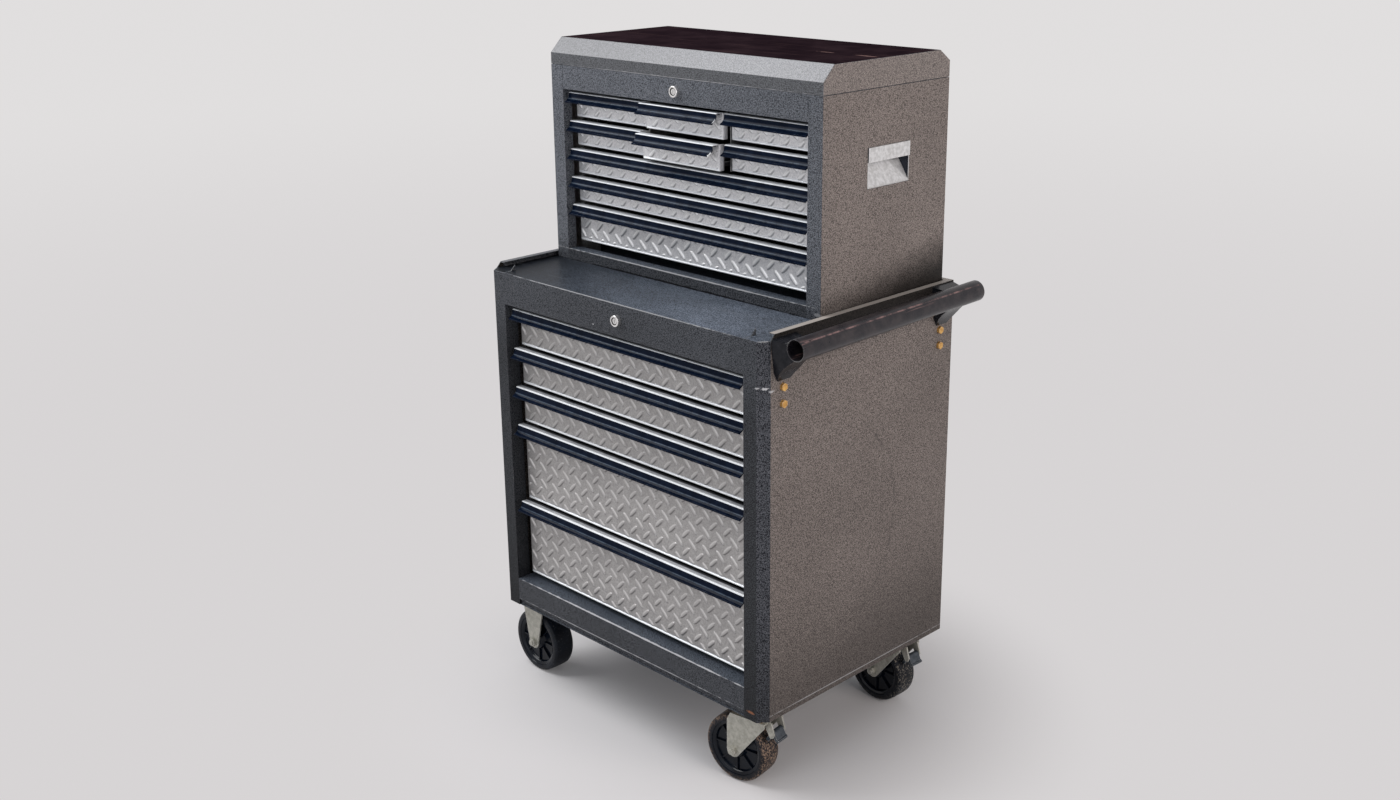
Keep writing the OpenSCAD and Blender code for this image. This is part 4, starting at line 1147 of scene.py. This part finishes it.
def trim_profile(pull):
    """Section of the trim in (y, z): a hook under the ledge, an arc that curves in, and a rounded lip."""
    ledge, wall, lip = pull.ledge, pull.wall, pull.depth
    low = -pull.height
    waist = (-ledge - 0.014, -0.004)
    return np.concatenate([
        arc((-ledge, -wall), wall, 90, 180, 8),
        arc(waist, 0.012, 0, -68, 16),
        [[-lip + 0.0006, low + 0.0029], [-lip + 0.00015, low + 0.0026], [-lip, low + 0.0021]],
        arc((-lip + 0.001, low + 0.001), 0.001, 180, 270, 6),
        [[-lip + 0.0018, low + 0.0001], [-lip + 0.0024, low + 0.0004]],
        arc(waist, 0.014, -70, 0, 16),
        [[-ledge, -0.0031], [-ledge + 0.007, -0.0031], [-ledge + 0.007, -0.0016], [-ledge, -0.0016]],
    ])


def build_drawer_front(drawer, plate, pull, plate_finish, ledge_finish, trim_finish):
    """The grey plate with its ledge, and the black trim, of one drawer."""
    node = drawer + "_front"
    low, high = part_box(node)
    width, height = high.x - low.x, high.z - low.z
    face_y = low.y + pull.depth
    place = np.array([(low.x + high.x) / 2, face_y, high.z])
    bar_place = BAR_PLACES.get(drawer, (0.012, -0.0205 if drawer in CHEST_DRAWERS else -0.041))
    points, faces, relief = plate_shell(width, height, plate, high.y - face_y, bar_place)
    front = new_piece(drawer + "_plate", points + place, faces)
    mark_points(front, "raised", relief)
    # The rolled bottom edge is marked for a painted highlight.
    mark_points(front, "highlight_band", (points[:, 1] < 0.0002) & (points[:, 2] < -height + 2.6 * plate.bead))
    solid = front.modifiers.new("Sheet thickness", "SOLIDIFY")
    solid.thickness = plate.sheet
    solid.offset = -1
    stand_for(front, plate_finish, node)

    points, faces = carried_along_x(ledge_profile(plate, pull), -width / 2, width / 2)
    ledge = new_piece(drawer + "_ledge", points + place, faces)
    # The ledge's front edge is marked for a painted highlight and its back for a painted shadow.
    mark_points(ledge, "highlight_band", points[:, 1] < -pull.ledge + 0.0025)
    mark_points(ledge, "back", points[:, 1] > -0.0050)
    round_edges(ledge, 0.0003, angle=50)
    stand_for(ledge, ledge_finish, node)

    points, faces = carried_along_x(trim_profile(pull), -width / 2, width / 2)
    trim = new_piece(drawer + "_trim", points + place, faces)
    # The trim's top edge and a thin band across its wall are marked for painted highlights.
    mark_points(trim, "highlight_band", (points[:, 1] < -pull.ledge + 0.0001) & (points[:, 2] > -0.0015))
    mark_points(trim, "gleam", np.exp(-((points[:, 2] + 0.0114) / 0.0006) ** 2))
    round_edges(trim, 0.0003, angle=50)
    stand_for(trim, trim_finish, node)


# ----------------------------------------------------------- wheels and tube


def wheel_profile(wheel):
    """Half section of a wheel in (radius, distance along the axle): hub, recess, rim ring and tread."""
    w, r = wheel.width / 2, wheel.radius
    one_face = np.concatenate([
        [[wheel.bore, 0.0], [wheel.bore, w + 0.0015]],
        [[0.0138, w + 0.0015], [0.0150, w + 0.0010], [0.0162, w - 0.0004], [0.0172, w - 0.0022]],
        [[0.0188, w - 0.0070], [0.0200, w - 0.0086], [0.0220, w - 0.0090], [0.0410, w - 0.0090]],
        [[0.0428, w - 0.0086], [0.0438, w - 0.0070], [0.0448, w - 0.0036], [0.0458, w - 0.0028]],
        [[0.0490, w - 0.0022], [0.0500, w - 0.0016], [0.0506, w - 0.0002], [0.0520, w]],
        arc((r - 0.0065, w - 0.0065), 0.0065, 84, 22, 9),
        [[r - 0.0001, w - 0.0120], [r, 0.004]],
    ])
    other_face = one_face[::-1] * [1, -1]
    return np.concatenate([one_face, other_face[:-1]])


def build_wheel(node, joint_name, wheel, finish):
    """One caster wheel: a turned shell, with ribs across the recess on both faces."""
    joint = JOINT[joint_name]
    centre, axis = np.array(joint["pos_m"]), np.array(joint["axis"], float)
    axis /= np.linalg.norm(axis)
    shells = [turned(wheel_profile(wheel), centre, axis, 112)]
    side = np.cross(axis, [0, 0, 1])
    side /= np.linalg.norm(side)
    up = np.cross(side, axis)
    half_sizes = np.array([0.0135, 0.0013, 0.0022])
    for turn in np.arange(wheel.ribs) * 2 * np.pi / max(wheel.ribs, 1):
        spoke = np.cos(turn) * side + np.sin(turn) * up
        flat = np.cross(axis, spoke)
        for face in (-1, 1):
            middle = centre + 0.0315 * spoke + face * (wheel.width / 2 - 0.0074) * axis
            shells.append(bar_shell(middle, half_sizes, [spoke, flat, axis]))
    points, faces = join_shells(*shells)
    piece = new_piece(node + "_tyre", points, faces, outward=True)
    off = points - centre
    radius = np.linalg.norm(off - (off @ axis)[:, None] * axis, axis=1)
    mark_points(piece, "tread", np.clip((radius - 0.0555) / 0.004, 0, 1))
    round_edges(piece, 0.0004, angle=60)
    return stand_for(piece, finish, node)


def build_push_tube(wheel, finish):
    """The push handle's tube: a wall with rounded rims, turned round an axis that rises a little to the rear.

    Its box is 2 * radius wide; it is higher than that by the rise of its axis.
    """
    low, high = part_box("push_handle_tube")
    radius = (high.x - low.x) / 2
    tilt = math.atan2(high.z - low.z - 2 * radius, high.y - low.y - radius * 0.01)
    for _ in range(4):
        length = (high.y - low.y - 2 * radius * math.sin(tilt)) / math.cos(tilt)
        tilt = math.asin((high.z - low.z - 2 * radius * math.cos(tilt)) / length)
    centre = (low + high) / 2
    inner, rim = radius - wheel.tube_wall, wheel.tube_wall / 2
    steps = np.linspace(-length / 2 + rim, length / 2 - rim, 24)
    outer_wall = np.stack([np.full(24, radius), steps], axis=-1)
    inner_wall = np.stack([np.full(24, inner), steps[::-1]], axis=-1)
    profile = np.concatenate([
        outer_wall,
        arc((radius - rim, length / 2 - rim), rim, 0, 180, 8)[1:-1],
        inner_wall,
        arc((radius - rim, -length / 2 + rim), rim, 180, 360, 8)[1:-1],
    ])
    points, faces = turned(profile, centre, (0, math.cos(tilt), math.sin(tilt)), 72)
    piece = new_piece("push_handle_grip", points, faces, outward=True)
    return stand_for(piece, finish, "push_handle_tube")


def collar_profile(wheel):
    """Half section of a lock's collar in (radius, distance out of the front): recess, face and body."""
    r, out = wheel.lock_radius, wheel.lock_reach
    return np.concatenate([
        [[0.00505, -0.020], [0.00505, out - 0.002], [0.0065, out - 0.002]],
        arc((0.0071, out - 0.0006), 0.0006, 180, 90, 4),
        arc((r - 0.0012, out - 0.0012), 0.0012, 90, 0, 6),
        [[r, 0.0], [0.008, 0.0], [0.008, -0.020]],
    ])


def build_lock_collars(wheel, finish):
    """The collars of both locks, turned round their own axes."""
    shells, recess = [], []
    for joint_name in ("cabinet_lock_turn", "chest_lock_turn"):
        profile = collar_profile(wheel)
        shells.append(turned(profile, JOINT[joint_name]["pos_m"], (0, -1, 0), 64))
        inside = (profile[:, 0] < 0.0068) & (profile[:, 1] > -0.001)
        recess.append(np.repeat(inside, 64))
    points, faces = join_shells(*shells)
    piece = new_piece("lock_collars", points, faces, outward=True)
    mark_points(piece, "recess", np.concatenate(recess))
    return stand_for(piece, finish, "lock_barrels")


# ----------------------------------------------------------------- operators


class TOOLCHEST_OT_sheet_metal(bpy.types.Operator):
    """Soften and paint the cabinet's and the chest's folded sheet metal."""

    bl_idname = "tool_chest.sheet_metal"
    bl_label = "Painted sheet metal"

    def execute(self, context):
        paint = context.scene.tool_chest_paint
        # Painted shade: the cabinet shell darkens towards the floor.
        foot = (0.15, 0.42, 0.5, 0.0)
        finishes = {
            "cab_shell": hammer_paint(
                "Cabinet shell paint", paint, CABINET_SPOTS, front_lift=0.95, outer=0.335,
                head=(0.66, 0.78, 0.6), foot=foot, scuffed=True, rim=0.8285,
            ),
            "cab_tray": hammer_paint("Cabinet header paint", paint, TRAY_SPOTS, front_lift=0.95, outer=0.4),
            "cab_base": hammer_paint("Cabinet sill paint", paint, BASE_SPOTS, front_lift=0.85, outer=0.4),
        }
        # The chest's fronts are lifted to a lighter tone, partly their own and partly painted light from
        # above. Its foot is painted shade: the bottom of the chest darkens, higher up towards the back, from
        # the dark tray below.
        chest = hammer_paint(
            "Chest paint", paint, CHEST_SPOTS, front_lift=1.9, side_lift=1.15, outer=0.318,
            foot=(0.815, 0.905, 0.10, 0.20),
        )
        finishes.update({node: chest for node in ("chest_shell", "chest_header", "chest_till")})
        finishes["chest_base"] = hammer_paint(
            "Chest rail paint", paint, CHEST_SPOTS, front_lift=0.8, outer=0.4
        )
        for node, finish in finishes.items():
            panel = softened(node, node + "_panel", finish, radius=0.0006)
            if node == "cab_tray":
                panel.data.materials.append(tray_paint(paint))
                for face in panel.data.polygons:
                    face.material_index = 1 if face.normal.z > 0.95 else 0
        return {"FINISHED"}


class TOOLCHEST_OT_lid(bpy.types.Operator):
    """Soften and paint the lid and its hinge."""

    bl_idname = "tool_chest.lid"
    bl_label = "Lid"

    def execute(self, context):
        paint = context.scene.tool_chest_paint
        lid = softened("chest_lid", "chest_lid_panel", lid_side_paint(paint), radius=0.0008, segments=3)
        lid.data.materials.append(lid_top_paint(paint))
        for face in lid.data.polygons:
            face.material_index = 1 if face.normal.z > 0.95 else 0
        hinge = hammer_paint("Hinge paint", paint)
        for node in ("lid_hinge_body_leaf", "lid_hinge_lid_leaf"):
            softened(node, node + "_strip", hinge, radius=0.0002)
        return {"FINISHED"}


class TOOLCHEST_OT_drawer_fronts(bpy.types.Operator):
    """Build the tread-plate fronts and their black trims."""

    bl_idname = "tool_chest.drawer_fronts"
    bl_label = "Drawer fronts"

    def execute(self, context):
        scene = context.scene
        # The chest's plate colours are a lighter, cooler copy of the cabinet's: painted reflection of the
        # pale room on the higher drawers.
        warm = tread_plate("Cabinet tread plate", (0.31, 0.295, 0.29, 1), (0.45, 0.435, 0.425, 1))
        cool = tread_plate("Chest tread plate", (0.60, 0.60, 0.62, 1), (0.82, 0.81, 0.82, 1))
        # The last argument of each ledge finish is the strength of its painted shadow at the back.
        broad = ledge_zinc("Cabinet ledge zinc", (0.30, 0.31, 0.33, 1), (0.50, 0.50, 0.52, 1), 0.92)
        narrow = ledge_zinc("Chest ledge zinc", (0.62, 0.64, 0.68, 1), (0.80, 0.81, 0.84, 1), 0.3)
        trim_finish = black_pull()
        for drawer in CABINET_DRAWERS + CHEST_DRAWERS:
            plate_finish, ledge_finish = (warm, broad) if drawer in CABINET_DRAWERS else (cool, narrow)
            build_drawer_front(
                drawer, scene.tool_chest_plate, scene.tool_chest_pull, plate_finish, ledge_finish, trim_finish
            )
        return {"FINISHED"}


class TOOLCHEST_OT_drawer_boxes(bpy.types.Operator):
    """Finish the drawer boxes and their slides, whose CAD shapes stay."""

    bl_idname = "tool_chest.drawer_boxes"
    bl_label = "Drawer boxes and slides"

    def execute(self, context):
        inside = drawer_enamel()
        slides = plated_steel("Slide zinc", (0.42, 0.42, 0.42, 1), (0.60, 0.60, 0.60, 1))
        nodes = {drawer + "_box": inside for drawer in CABINET_DRAWERS + CHEST_DRAWERS}
        nodes.update({"cab_slide_racks": slides, "chest_slide_racks": slides})
        for node, finish in nodes.items():
            mesh = frame["nodes"][node].data
            mesh.materials.clear()
            mesh.materials.append(finish)
        return {"FINISHED"}


class TOOLCHEST_OT_push_handle(bpy.types.Operator):
    """Build the push handle's tube and soften its brackets."""

    bl_idname = "tool_chest.push_handle"
    bl_label = "Push handle"

    def execute(self, context):
        finish = tube_enamel()
        build_push_tube(context.scene.tool_chest_wheel, finish)
        softened("push_handle_brackets", "push_handle_saddles", bracket_enamel(), radius=0.0006)
        return {"FINISHED"}


class TOOLCHEST_OT_side_handles(bpy.types.Operator):
    """Soften the chest's recessed zinc handles."""

    bl_idname = "tool_chest.side_handles"
    bl_label = "Side handles"

    def execute(self, context):
        # The pocket's cheeks are painted nearly black as painted shade.
        zinc = plated_steel(
            "Handle zinc", (0.55, 0.55, 0.55, 1), (0.78, 0.78, 0.79, 1), metallic=0.5,
            roughness=(0.28, 0.42), grime=0.1, painted_shade_cheeks=True,
        )
        softened("chest_side_handles", "chest_side_grips", zinc, radius=0.0006)
        return {"FINISHED"}


class TOOLCHEST_OT_caster_metal(bpy.types.Operator):
    """Soften the casters' forks, plates, axles and brake pedals."""

    bl_idname = "tool_chest.caster_metal"
    bl_label = "Caster metal"

    def execute(self, context):
        zinc = plated_steel(
            "Caster zinc", (0.30, 0.295, 0.255, 1), (0.45, 0.435, 0.385, 1),
            metallic=0.35, roughness=(0.36, 0.52), grime=0.5
        )
        pedal = plated_steel(
            "Pedal steel", (0.020, 0.028, 0.037, 1), (0.06, 0.07, 0.085, 1),
            metallic=0.2, roughness=(0.35, 0.5), grime=0.4
        )
        for node in ("rigid_caster_forks", "swivel_caster_plates", "swivel_fork_front", "swivel_fork_rear"):
            softened(node, node + "_pressing", zinc, radius=0.0006)
        for node in ("rigid_caster_axles", "swivel_axle_front", "swivel_axle_rear"):
            softened(node, node + "_bolt", zinc, radius=0.0005)
        for node in ("brake_pedal_front", "brake_pedal_rear"):
            softened(node, node + "_lever", pedal, radius=0.0006)
        return {"FINISHED"}


class TOOLCHEST_OT_wheels(bpy.types.Operator):
    """Build the four caster wheels."""

    bl_idname = "tool_chest.wheels"
    bl_label = "Wheels"

    def execute(self, context):
        wheel = context.scene.tool_chest_wheel
        brown, beige, grey = (0.30, 0.20, 0.14, 1), (0.40, 0.35, 0.29, 1), (0.12, 0.115, 0.115, 1)
        scraped = wheel_rubber("Scraped rubber", brown, 1.0)
        dusty = wheel_rubber("Dusty rubber", beige, 0.7)
        plain = wheel_rubber("Wheel rubber", grey, 0.4)
        build_wheel("wheel_front_right", "wheel_front_right_spin", wheel, scraped)
        build_wheel("wheel_rear_right", "wheel_rear_right_spin", wheel, dusty)
        build_wheel("wheel_front_left", "wheel_front_left_spin", wheel, plain)
        build_wheel("wheel_rear_left", "wheel_rear_left_spin", wheel, plain)
        return {"FINISHED"}


class TOOLCHEST_OT_locks(bpy.types.Operator):
    """Build the lock collars and soften their key plugs."""

    bl_idname = "tool_chest.locks"
    bl_label = "Locks"

    def execute(self, context):
        chrome = lock_chrome()
        build_lock_collars(context.scene.tool_chest_wheel, chrome)
        for node in ("cab_lock_plug", "chest_lock_plug"):
            softened(node, node + "_face", chrome, radius=0.0003)
        return {"FINISHED"}


class TOOLCHEST_OT_bolts(bpy.types.Operator):
    """Soften the yellow zinc bolts."""

    bl_idname = "tool_chest.bolts"
    bl_label = "Bolts"

    def execute(self, context):
        yellow = plated_steel(
            "Yellow zinc", (0.48, 0.24, 0.06, 1), (0.78, 0.46, 0.14, 1),
            metallic=0.55, roughness=(0.3, 0.5), grime=0.35
        )
        softened("m8_bolts", "m8_bolt_heads", yellow, radius=0.0005)
        return {"FINISHED"}


def place_camera(stage):
    """A camera at the photograph's viewpoint, looking down the stated azimuth, elevation and roll."""
    data = bpy.data.cameras.new("Camera")
    data.lens = stage.lens
    data.sensor_width = 36
    data.shift_x, data.shift_y = stage.shift
    data.clip_end = 200
    camera = bpy.data.objects.new("Camera", data)
    camera.location = stage.place
    look = Euler((math.pi / 2 - stage.tilt, 0, stage.turn), "XYZ").to_matrix()
    lean = Euler((0, 0, stage.roll), "XYZ").to_matrix()
    camera.rotation_euler = (look @ lean).to_euler()
    bpy.context.scene.collection.objects.link(camera)
    bpy.context.scene.camera = camera


def place_lamp(name, place, aim, size, energy, colour):
    """A square soft box that looks at a point."""
    data = bpy.data.lights.new(name, "AREA")
    data.shape = "SQUARE"
    data.size = size
    data.energy = energy
    data.color = colour
    lamp = bpy.data.objects.new(name, data)
    lamp.location = place
    lamp.rotation_euler = (Vector(aim) - Vector(place)).to_track_quat("-Z", "Y").to_euler()
    bpy.context.scene.collection.objects.link(lamp)


def seen_directly(tree):
    """1 for camera, glossy and transmission rays, 0 for the light that falls on things."""
    path = tree.nodes.new("ShaderNodeLightPath")
    seen = compute(tree, "ADD", path.outputs["Is Camera Ray"], path.outputs["Is Glossy Ray"])
    return compute(tree, "ADD", seen, path.outputs["Is Transmission Ray"], clamp=True)


def light_world(stage):
    """An even pale sky: a plain light on the object, the backdrop's colour where it is seen."""
    world = bpy.data.worlds.new("Pale room")
    world.use_nodes = True
    tree = world.node_tree
    background = tree.nodes["Background"]
    background.inputs["Color"].default_value = (0.95, 0.97, 1.0, 1)
    background.inputs["Strength"].default_value = stage.sky
    wall = put(tree, "ShaderNodeBackground", {"Color": tuple(stage.backdrop), "Strength": 1.0})
    shown = put(
        tree, "ShaderNodeMixShader",
        {0: seen_directly(tree), 1: background.outputs[0], 2: wall.outputs[0]},
    )
    tree.links.new(shown.outputs[0], tree.nodes["World Output"].inputs[0])
    bpy.context.scene.world = world


def floor_finish(stage):
    """Floor: keeps the object's shadow close by, and turns into the plain backdrop colour further out."""
    material, tree, shader = new_material("Pale floor")
    shader.inputs["Base Color"].default_value = tuple(stage.backdrop)
    shader.inputs["Roughness"].default_value = 0.9
    shader.inputs["Specular IOR Level"].default_value = 0.1
    distance = put(
        tree, "ShaderNodeVectorMath", {0: object_place(tree)}, operation="LENGTH"
    ).outputs["Value"]
    far = spread(tree, distance, 0.26, 0.74)
    fade = blend_colours(
        tree, spread(tree, distance, 1.5, 9.0), tuple(stage.backdrop), tuple(stage.horizon)
    )
    plain = put(tree, "ShaderNodeEmission", {"Color": fade, "Strength": 1.0})
    shown = product(tree, far, seen_directly(tree))
    mixed = put(tree, "ShaderNodeMixShader", {0: shown, 1: shader.outputs[0], 2: plain.outputs[0]})
    tree.links.new(mixed.outputs[0], tree.nodes["Material Output"].inputs["Surface"])
    return material


class TOOLCHEST_OT_stage(bpy.types.Operator):
    """Set the floor, the soft lamps, the pale room and the camera."""

    bl_idname = "tool_chest.stage"
    bl_label = "Stage"

    def execute(self, context):
        stage = context.scene.tool_chest_stage
        context.scene.view_settings.view_transform = "Standard"
        reach = 60.0
        corners = np.array([[-reach, -reach, 0], [reach, -reach, 0], [reach, reach, 0], [-reach, reach, 0]])
        floor = new_piece("studio_floor", corners, [[0, 1, 2, 3]])
        floor.data.materials.append(floor_finish(stage))
        place_lamp("Overhead box", (-1.9, -1.3, 3.2), (0, 0, 0.8), 2.4, 95, (0.98, 0.99, 1.0))
        place_lamp("Warm right box", (3.6, 0.2, 1.9), (0.2, 0, 0.7), 2.2, 62, (1.0, 0.93, 0.89))
        place_lamp("Front fill box", (0.6, -3.6, 1.6), (0, 0, 0.7), 2.4, 22, (0.92, 0.96, 1.0))
        light_world(stage)
        place_camera(stage)
        return {"FINISHED"}


class TOOLCHEST_PT_pieces(bpy.types.Panel):
    """Lists the pieces of the tool chest that can be built."""

    bl_label = "Tool Chest"
    bl_idname = "TOOLCHEST_PT_pieces"
    bl_space_type = "VIEW_3D"
    bl_region_type = "UI"
    bl_category = "Tool Chest"

    def draw(self, context):
        for operator in PIECE_OPERATORS:
            self.layout.operator(operator.bl_idname)


PIECE_OPERATORS = (
    TOOLCHEST_OT_stage,
    TOOLCHEST_OT_sheet_metal,
    TOOLCHEST_OT_lid,
    TOOLCHEST_OT_drawer_fronts,
    TOOLCHEST_OT_drawer_boxes,
    TOOLCHEST_OT_push_handle,
    TOOLCHEST_OT_side_handles,
    TOOLCHEST_OT_caster_metal,
    TOOLCHEST_OT_wheels,
    TOOLCHEST_OT_locks,
    TOOLCHEST_OT_bolts,
)
SETTINGS = {
    "tool_chest_paint": PaintSettings,
    "tool_chest_plate": PlateSettings,
    "tool_chest_pull": PullSettings,
    "tool_chest_wheel": WheelSettings,
    "tool_chest_stage": StageSettings,
}


def register():
    for settings in SETTINGS.values():
        bpy.utils.register_class(settings)
    for operator in PIECE_OPERATORS:
        bpy.utils.register_class(operator)
    bpy.utils.register_class(TOOLCHEST_PT_pieces)
    for name, settings in SETTINGS.items():
        setattr(bpy.types.Scene, name, PointerProperty(type=settings))


def unregister():
    for name in SETTINGS:
        delattr(bpy.types.Scene, name)
    bpy.utils.unregister_class(TOOLCHEST_PT_pieces)
    for operator in reversed(PIECE_OPERATORS):
        bpy.utils.unregister_class(operator)
    for settings in reversed(SETTINGS.values()):
        bpy.utils.unregister_class(settings)


def main():
    """Builds every piece in order."""
    register()
    bpy.ops.tool_chest.stage()
    bpy.ops.tool_chest.sheet_metal()
    bpy.ops.tool_chest.lid()
    bpy.ops.tool_chest.drawer_fronts()
    bpy.ops.tool_chest.drawer_boxes()
    bpy.ops.tool_chest.push_handle()
    bpy.ops.tool_chest.side_handles()
    bpy.ops.tool_chest.caster_metal()
    bpy.ops.tool_chest.wheels()
    bpy.ops.tool_chest.locks()
    bpy.ops.tool_chest.bolts()


if __name__ == "__main__":
    main()
